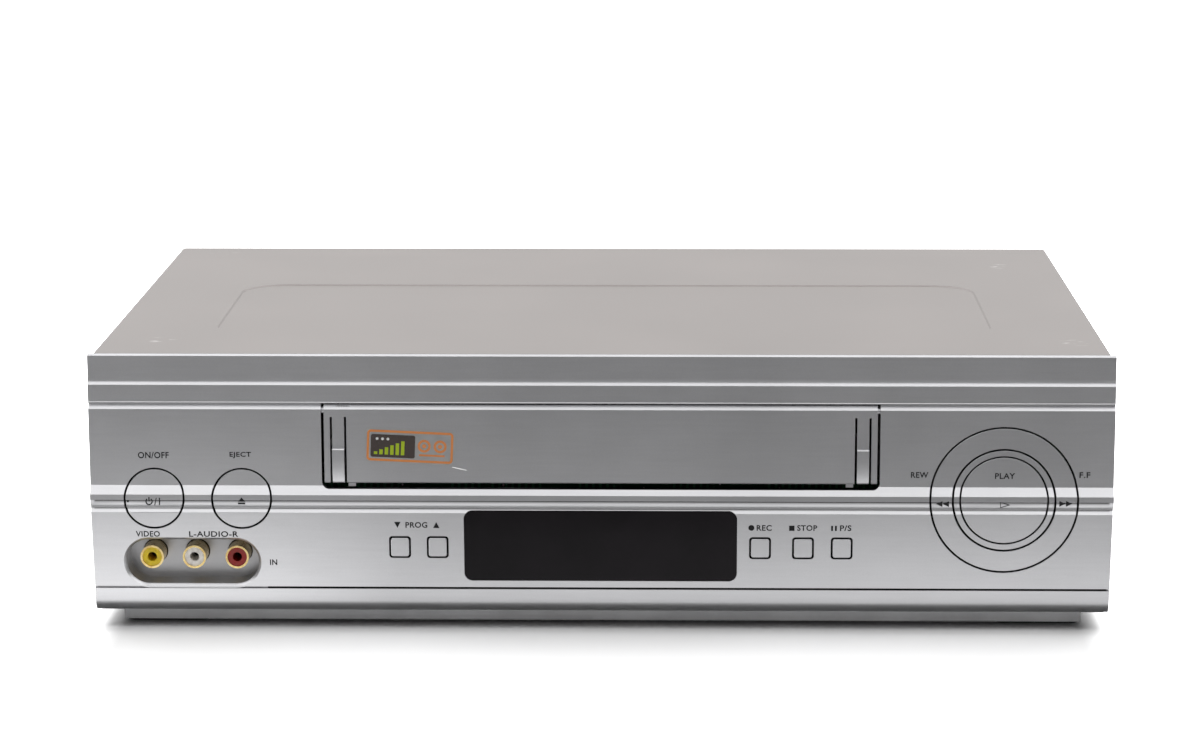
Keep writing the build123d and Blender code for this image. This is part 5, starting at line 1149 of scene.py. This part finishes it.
def cut_into_strips(thing):
    """Level cuts through a flat mesh, close enough to follow the steps of the face below."""
    activate(thing)
    bpy.ops.object.mode_set(mode="EDIT")
    for number in range(int((STEPS_TOP - STEPS_FOOT) / STRIP)):
        height = STEPS_FOOT + number * STRIP
        bpy.ops.mesh.select_all(action="SELECT")
        bpy.ops.mesh.bisect(plane_co=(0, 0, height * MM), plane_no=(0, 0, 1))
    bpy.ops.object.mode_set(mode="OBJECT")


def lay_shell(thing, material, depth):
    """Gives a flat mesh the thickness of ink, film or paint."""
    activate(thing)
    shell = thing.modifiers.new("shell", "SOLIDIFY")
    shell.thickness, shell.offset = depth * MM, 1.0
    bpy.ops.object.modifier_apply(modifier=shell.name)
    thing.data.materials.clear()
    thing.data.materials.append(material)


def drop_onto(thing, target, material, lift=INK_LIFT, depth=INK_DEPTH):
    """Lays a flat mesh on the front of a piece, as a thin shell."""
    activate(thing)
    wrap = thing.modifiers.new("drop", "SHRINKWRAP")
    wrap.target = target
    wrap.wrap_method = "PROJECT"
    wrap.use_project_y = True
    wrap.use_positive_direction, wrap.use_negative_direction = True, False
    bpy.ops.object.modifier_apply(modifier=wrap.name)
    bpy.ops.object.mode_set(mode="EDIT")
    bpy.ops.mesh.select_all(action="SELECT")
    bpy.ops.transform.translate(value=(0, -lift * MM, 0))
    bpy.ops.object.mode_set(mode="OBJECT")
    lay_shell(thing, material, depth)


def print_marks(target, body, marks, stepped=False):
    """Joins marks, lays them on a piece and lets them ride with it."""
    thing = join(marks, target + "_marks")
    if stepped:
        cut_into_strips(thing)
    drop_onto(thing, soft[target], INK)
    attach(thing, body)
    print(thing.name, len(thing.data.polygons), "faces")
    return thing


INK = ink("dark_grey_ink", (0.012, 0.012, 0.013))
print("ink is", INK_DEPTH, "mm thick")

# %% [markdown]
# The words say what the controls do, in plain capitals. Their places are distances from the middle of
# the panel and heights, in millimetres. One list holds all the marks of a piece, because they become
# one mesh that rides with it.

# %% print the marks
WORD = 2.1
print_marks(
    "front_panel",
    "casing",
    [
        words(-157.4, 63.0, 2.3, "ON/OFF"),
        words(-126.7, 63.1, 2.3, "EJECT", 7.6),
        words(-159.8, 35.0, WORD, "VIDEO", 8.5),
        words(-136.5, 35.0, WORD, "L-AUDIO-R", 17.4),
        words(-115.6, 24.6, WORD, "IN"),
        words(112.0, 56.6, WORD, "REW", 6.1),
        words(169.8, 56.7, WORD, "F.F", 3.8),
        triangle(-71.5, 38.6, 2.2, 2.2, DOWN),
        words(-64.8, 38.6, WORD, "PROG", 7.7),
        triangle(-57.8, 38.6, 2.2, 2.2, UP),
        dot(53.1, 37.9, 2.1),
        words(57.6, 37.9, WORD, "REC", 5.3),
        bars(67.3, 37.8, 1.9, 1.9, 1),
        words(72.7, 37.9, WORD, "STOP", 7.0),
        bars(82.1, 37.8, 2.0, 1.9, 2),
        words(86.2, 37.9, WORD, "P/S", 4.0),
    ],
)
print_marks(
    "play_button",
    "play_button",
    [words(141.9, 56.3, WORD, "PLAY", 7.0), outlined_triangle(142.0, 46.3, 3.6, 2.1, RIGHT)],
    stepped=True,
)
print_marks(
    "shuttle_ring",
    "shuttle_ring",
    [double_triangle(120.0, 46.6, 4.6, 2.0, LEFT), double_triangle(163.2, 46.8, 4.6, 2.0, RIGHT)],
    stepped=True,
)
print_marks(
    "standby_button",
    "standby_button",
    [
        power_sign(-159.1, 46.7, 2.6),
        words(-156.8, 46.7, 2.6, "/", 0.9),
        bars(-155.4, 46.7, 0.4, 2.6, 1),
        dot(-166.6, 46.7, 0.8),
    ],
    stepped=True,
)
print_marks("eject_button", "eject_button", [eject_sign(-126.4, 47.0, 2.6, 2.4)], stepped=True)

# %% [markdown]
# The sockets at the back have plain words over them in pale ink. They are turned round, so that they
# read from behind. The plate is flat, so they needn't be dropped but are moved straight to it.

# %% words on the rear plate
REAR_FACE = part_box("rear_panel")[1].y
REAR_WORD = 2.8  # height of the letters
PALE_INK = ink("pale_ink", (0.62, 0.62, 0.62))
REAR_WORDS = (
    (-150.0, 38.0, "AC IN"), (-78.0, 38.0, "AV 1"), (-18.0, 38.0, "AV 2"), (38.0, 34.5, "R"),
    (54.0, 34.5, "L"), (46.0, 40.5, "AUDIO OUT"), (125.0, 36.5, "OUT"), (153.0, 36.5, "IN"),
)


def rear_word(x, z, text):
    """A word that faces backwards, just off the rear plate."""
    thing = words(x, z, REAR_WORD, text)
    bpy.ops.object.mode_set(mode="EDIT")
    bpy.ops.mesh.select_all(action="SELECT")
    centre = (x * MM, FLAT_Y, z * MM)
    bpy.ops.transform.rotate(value=math.pi, orient_axis="Z", center_override=centre)
    bpy.ops.transform.translate(value=(0, REAR_FACE + INK_LIFT * MM - FLAT_Y, 0))
    return finish_flat()


rear = join([rear_word(*place) for place in REAR_WORDS], "rear_panel_marks")
lay_shell(rear, PALE_INK, INK_DEPTH)
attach(rear, "casing")
print(rear.name, len(rear.data.polygons), "faces")

# %% [markdown]
# ## Label
#
# A film label sits a little crooked on the left of the flap: an orange frame round a pair of reels and
# a dark block with a rising row of lime bars. It could be one plate with a pattern in its colour, but
# each colour as a thin layer of its own keeps the borders crisp, as print does.

# %% label on the flap
LABEL_X, LABEL_Z = -66.9, 66.3
LABEL_WIDTH, LABEL_HEIGHT = 31.6, 12.4
LABEL_TILT = math.radians(-2.5)
LAYER = 0.03  # each layer lies this much above the one below
FRAME_IN = 0.6  # the orange frame keeps this much from the edge of the film
ORANGE_LINE = 0.85
REELS = (5.0, 10.6)  # the reels lie this far right of the label's middle
REEL, HUB = 4.6, 1.5
COLUMN = 1.9  # the bars and the dots stand this far apart
BARS, DOTS = 6, 3
BAR_WIDTH, BAR_FIRST, BAR_MORE = 1.2, 1.0, 0.8  # height of the first bar, and what each next one adds


def tilt(thing, x, z, angle):
    """Turns a flat mesh in its own plane."""
    activate(thing)
    bpy.ops.object.mode_set(mode="EDIT")
    bpy.ops.mesh.select_all(action="SELECT")
    centre = (x * MM, FLAT_Y, z * MM)
    bpy.ops.transform.rotate(value=angle, orient_axis="Y", center_override=centre)
    bpy.ops.object.mode_set(mode="OBJECT")


def film_finish():
    """Silvery film that has dulled towards a few worn patches."""
    finish = Finish("label_film", (0.60, 0.60, 0.60), 0.32, 0.75)
    worn = finish.cloud(3.0, 4.0)
    finish.set("Base Color", finish.shade(worn.rise(0.3, 0.7), 0.95, 1.05))
    finish.set("Roughness", 0.28 + 0.08 * worn)
    return finish.material


def label_layer(name, shapes, layer, material):
    """Draws one colour of the label, lays it on the flap and lets it ride with it."""
    start_flat(name)
    shapes()
    thing = finish_flat()
    tilt(thing, LABEL_X, LABEL_Z, LABEL_TILT)
    drop_onto(thing, soft["cassette_door"], material, LAYER * (layer + 1), LAYER)
    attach(thing, "door")
    return thing


def film():
    plate(LABEL_X, LABEL_Z, LABEL_WIDTH, LABEL_HEIGHT, 1.8)


def orange_lines():
    """Frame, two reels and the line of tape below them."""
    plate(LABEL_X, LABEL_Z, LABEL_WIDTH - 2 * FRAME_IN, LABEL_HEIGHT - 2 * FRAME_IN, 1.4)
    hollow(ORANGE_LINE)
    for x in REELS:
        disc(LABEL_X + x, LABEL_Z + 0.4, REEL, REEL)
        hollow(ORANGE_LINE)
        disc(LABEL_X + x, LABEL_Z + 0.4, HUB, HUB)
    bar(LABEL_X + 7.8, LABEL_Z - 2.9, 9.0, 0.7)


def dark_block():
    plate(LABEL_X - 6.0, LABEL_Z - 0.1, 15.6, 8.2, 0.7)


def lime_bars():
    for number in range(BARS):
        height = BAR_FIRST + BAR_MORE * number
        bar(LABEL_X - 12.0 + COLUMN * number, LABEL_Z - 3.2 + height / 2, BAR_WIDTH, height)


def white_dots():
    for number in range(DOTS):
        disc(LABEL_X - 11.6 + COLUMN * number, LABEL_Z + 2.4, 1.0, 1.0, 16)


label_layer("label_film_plate", film, 0, film_finish())
label_layer("label_orange_lines", orange_lines, 1, ink("label_orange_ink", (0.72, 0.27, 0.09)))
label_layer("label_dark_block", dark_block, 1, ink("label_dark_ink", (0.075, 0.060, 0.055)))
label_layer("label_lime_bars", lime_bars, 2, ink("label_lime_ink", (0.42, 0.55, 0.03)))
label_layer("label_white_dots", white_dots, 2, ink("label_white_ink", (0.80, 0.80, 0.78)))
print("label:", LABEL_WIDTH, "by", LABEL_HEIGHT, "mm")

# %% [markdown]
# Right of the label something has scratched the paint. A bright line in the paint's colour would look
# the same from everywhere, so the scratch is a short stroke with tapered ends and a burr along its
# lower side, which catches the light from above.

# %% scratch
SCRATCH_X, SCRATCH_Z = -49.6, 58.4
SCRATCH_LENGTH, SCRATCH_WIDTH = 5.4, 0.34
SCRATCH_TILT = math.radians(-13)
SCRATCH_BURR = 0.12  # its lower side stands out this much


def below_scratch(point):
    """True for the points under the middle line of the scratch."""
    across, up = point.co.x / MM - SCRATCH_X, point.co.z / MM - SCRATCH_Z
    return up < math.tan(SCRATCH_TILT) * across


def add_scratch():
    start_flat("door_scratch")
    disc(SCRATCH_X, SCRATCH_Z, SCRATCH_LENGTH, SCRATCH_WIDTH)
    thing = finish_flat()
    tilt(thing, SCRATCH_X, SCRATCH_Z, SCRATCH_TILT)
    bare = Finish("scratch_bare_metal", (0.85, 0.85, 0.85), 0.5, 0.8)
    bare.set("Roughness", 0.45 + 0.2 * bare.cloud(0.6))
    drop_onto(thing, soft["cassette_door"], bare.material, lift=0.01, depth=0.01)
    bpy.ops.object.mode_set(mode="EDIT")
    pick("verts", below_scratch)
    bpy.ops.transform.translate(value=(0, -SCRATCH_BURR * MM, 0))
    bpy.ops.object.mode_set(mode="OBJECT")
    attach(thing, "door")
    return thing


print(add_scratch().name, "lies right of the label")
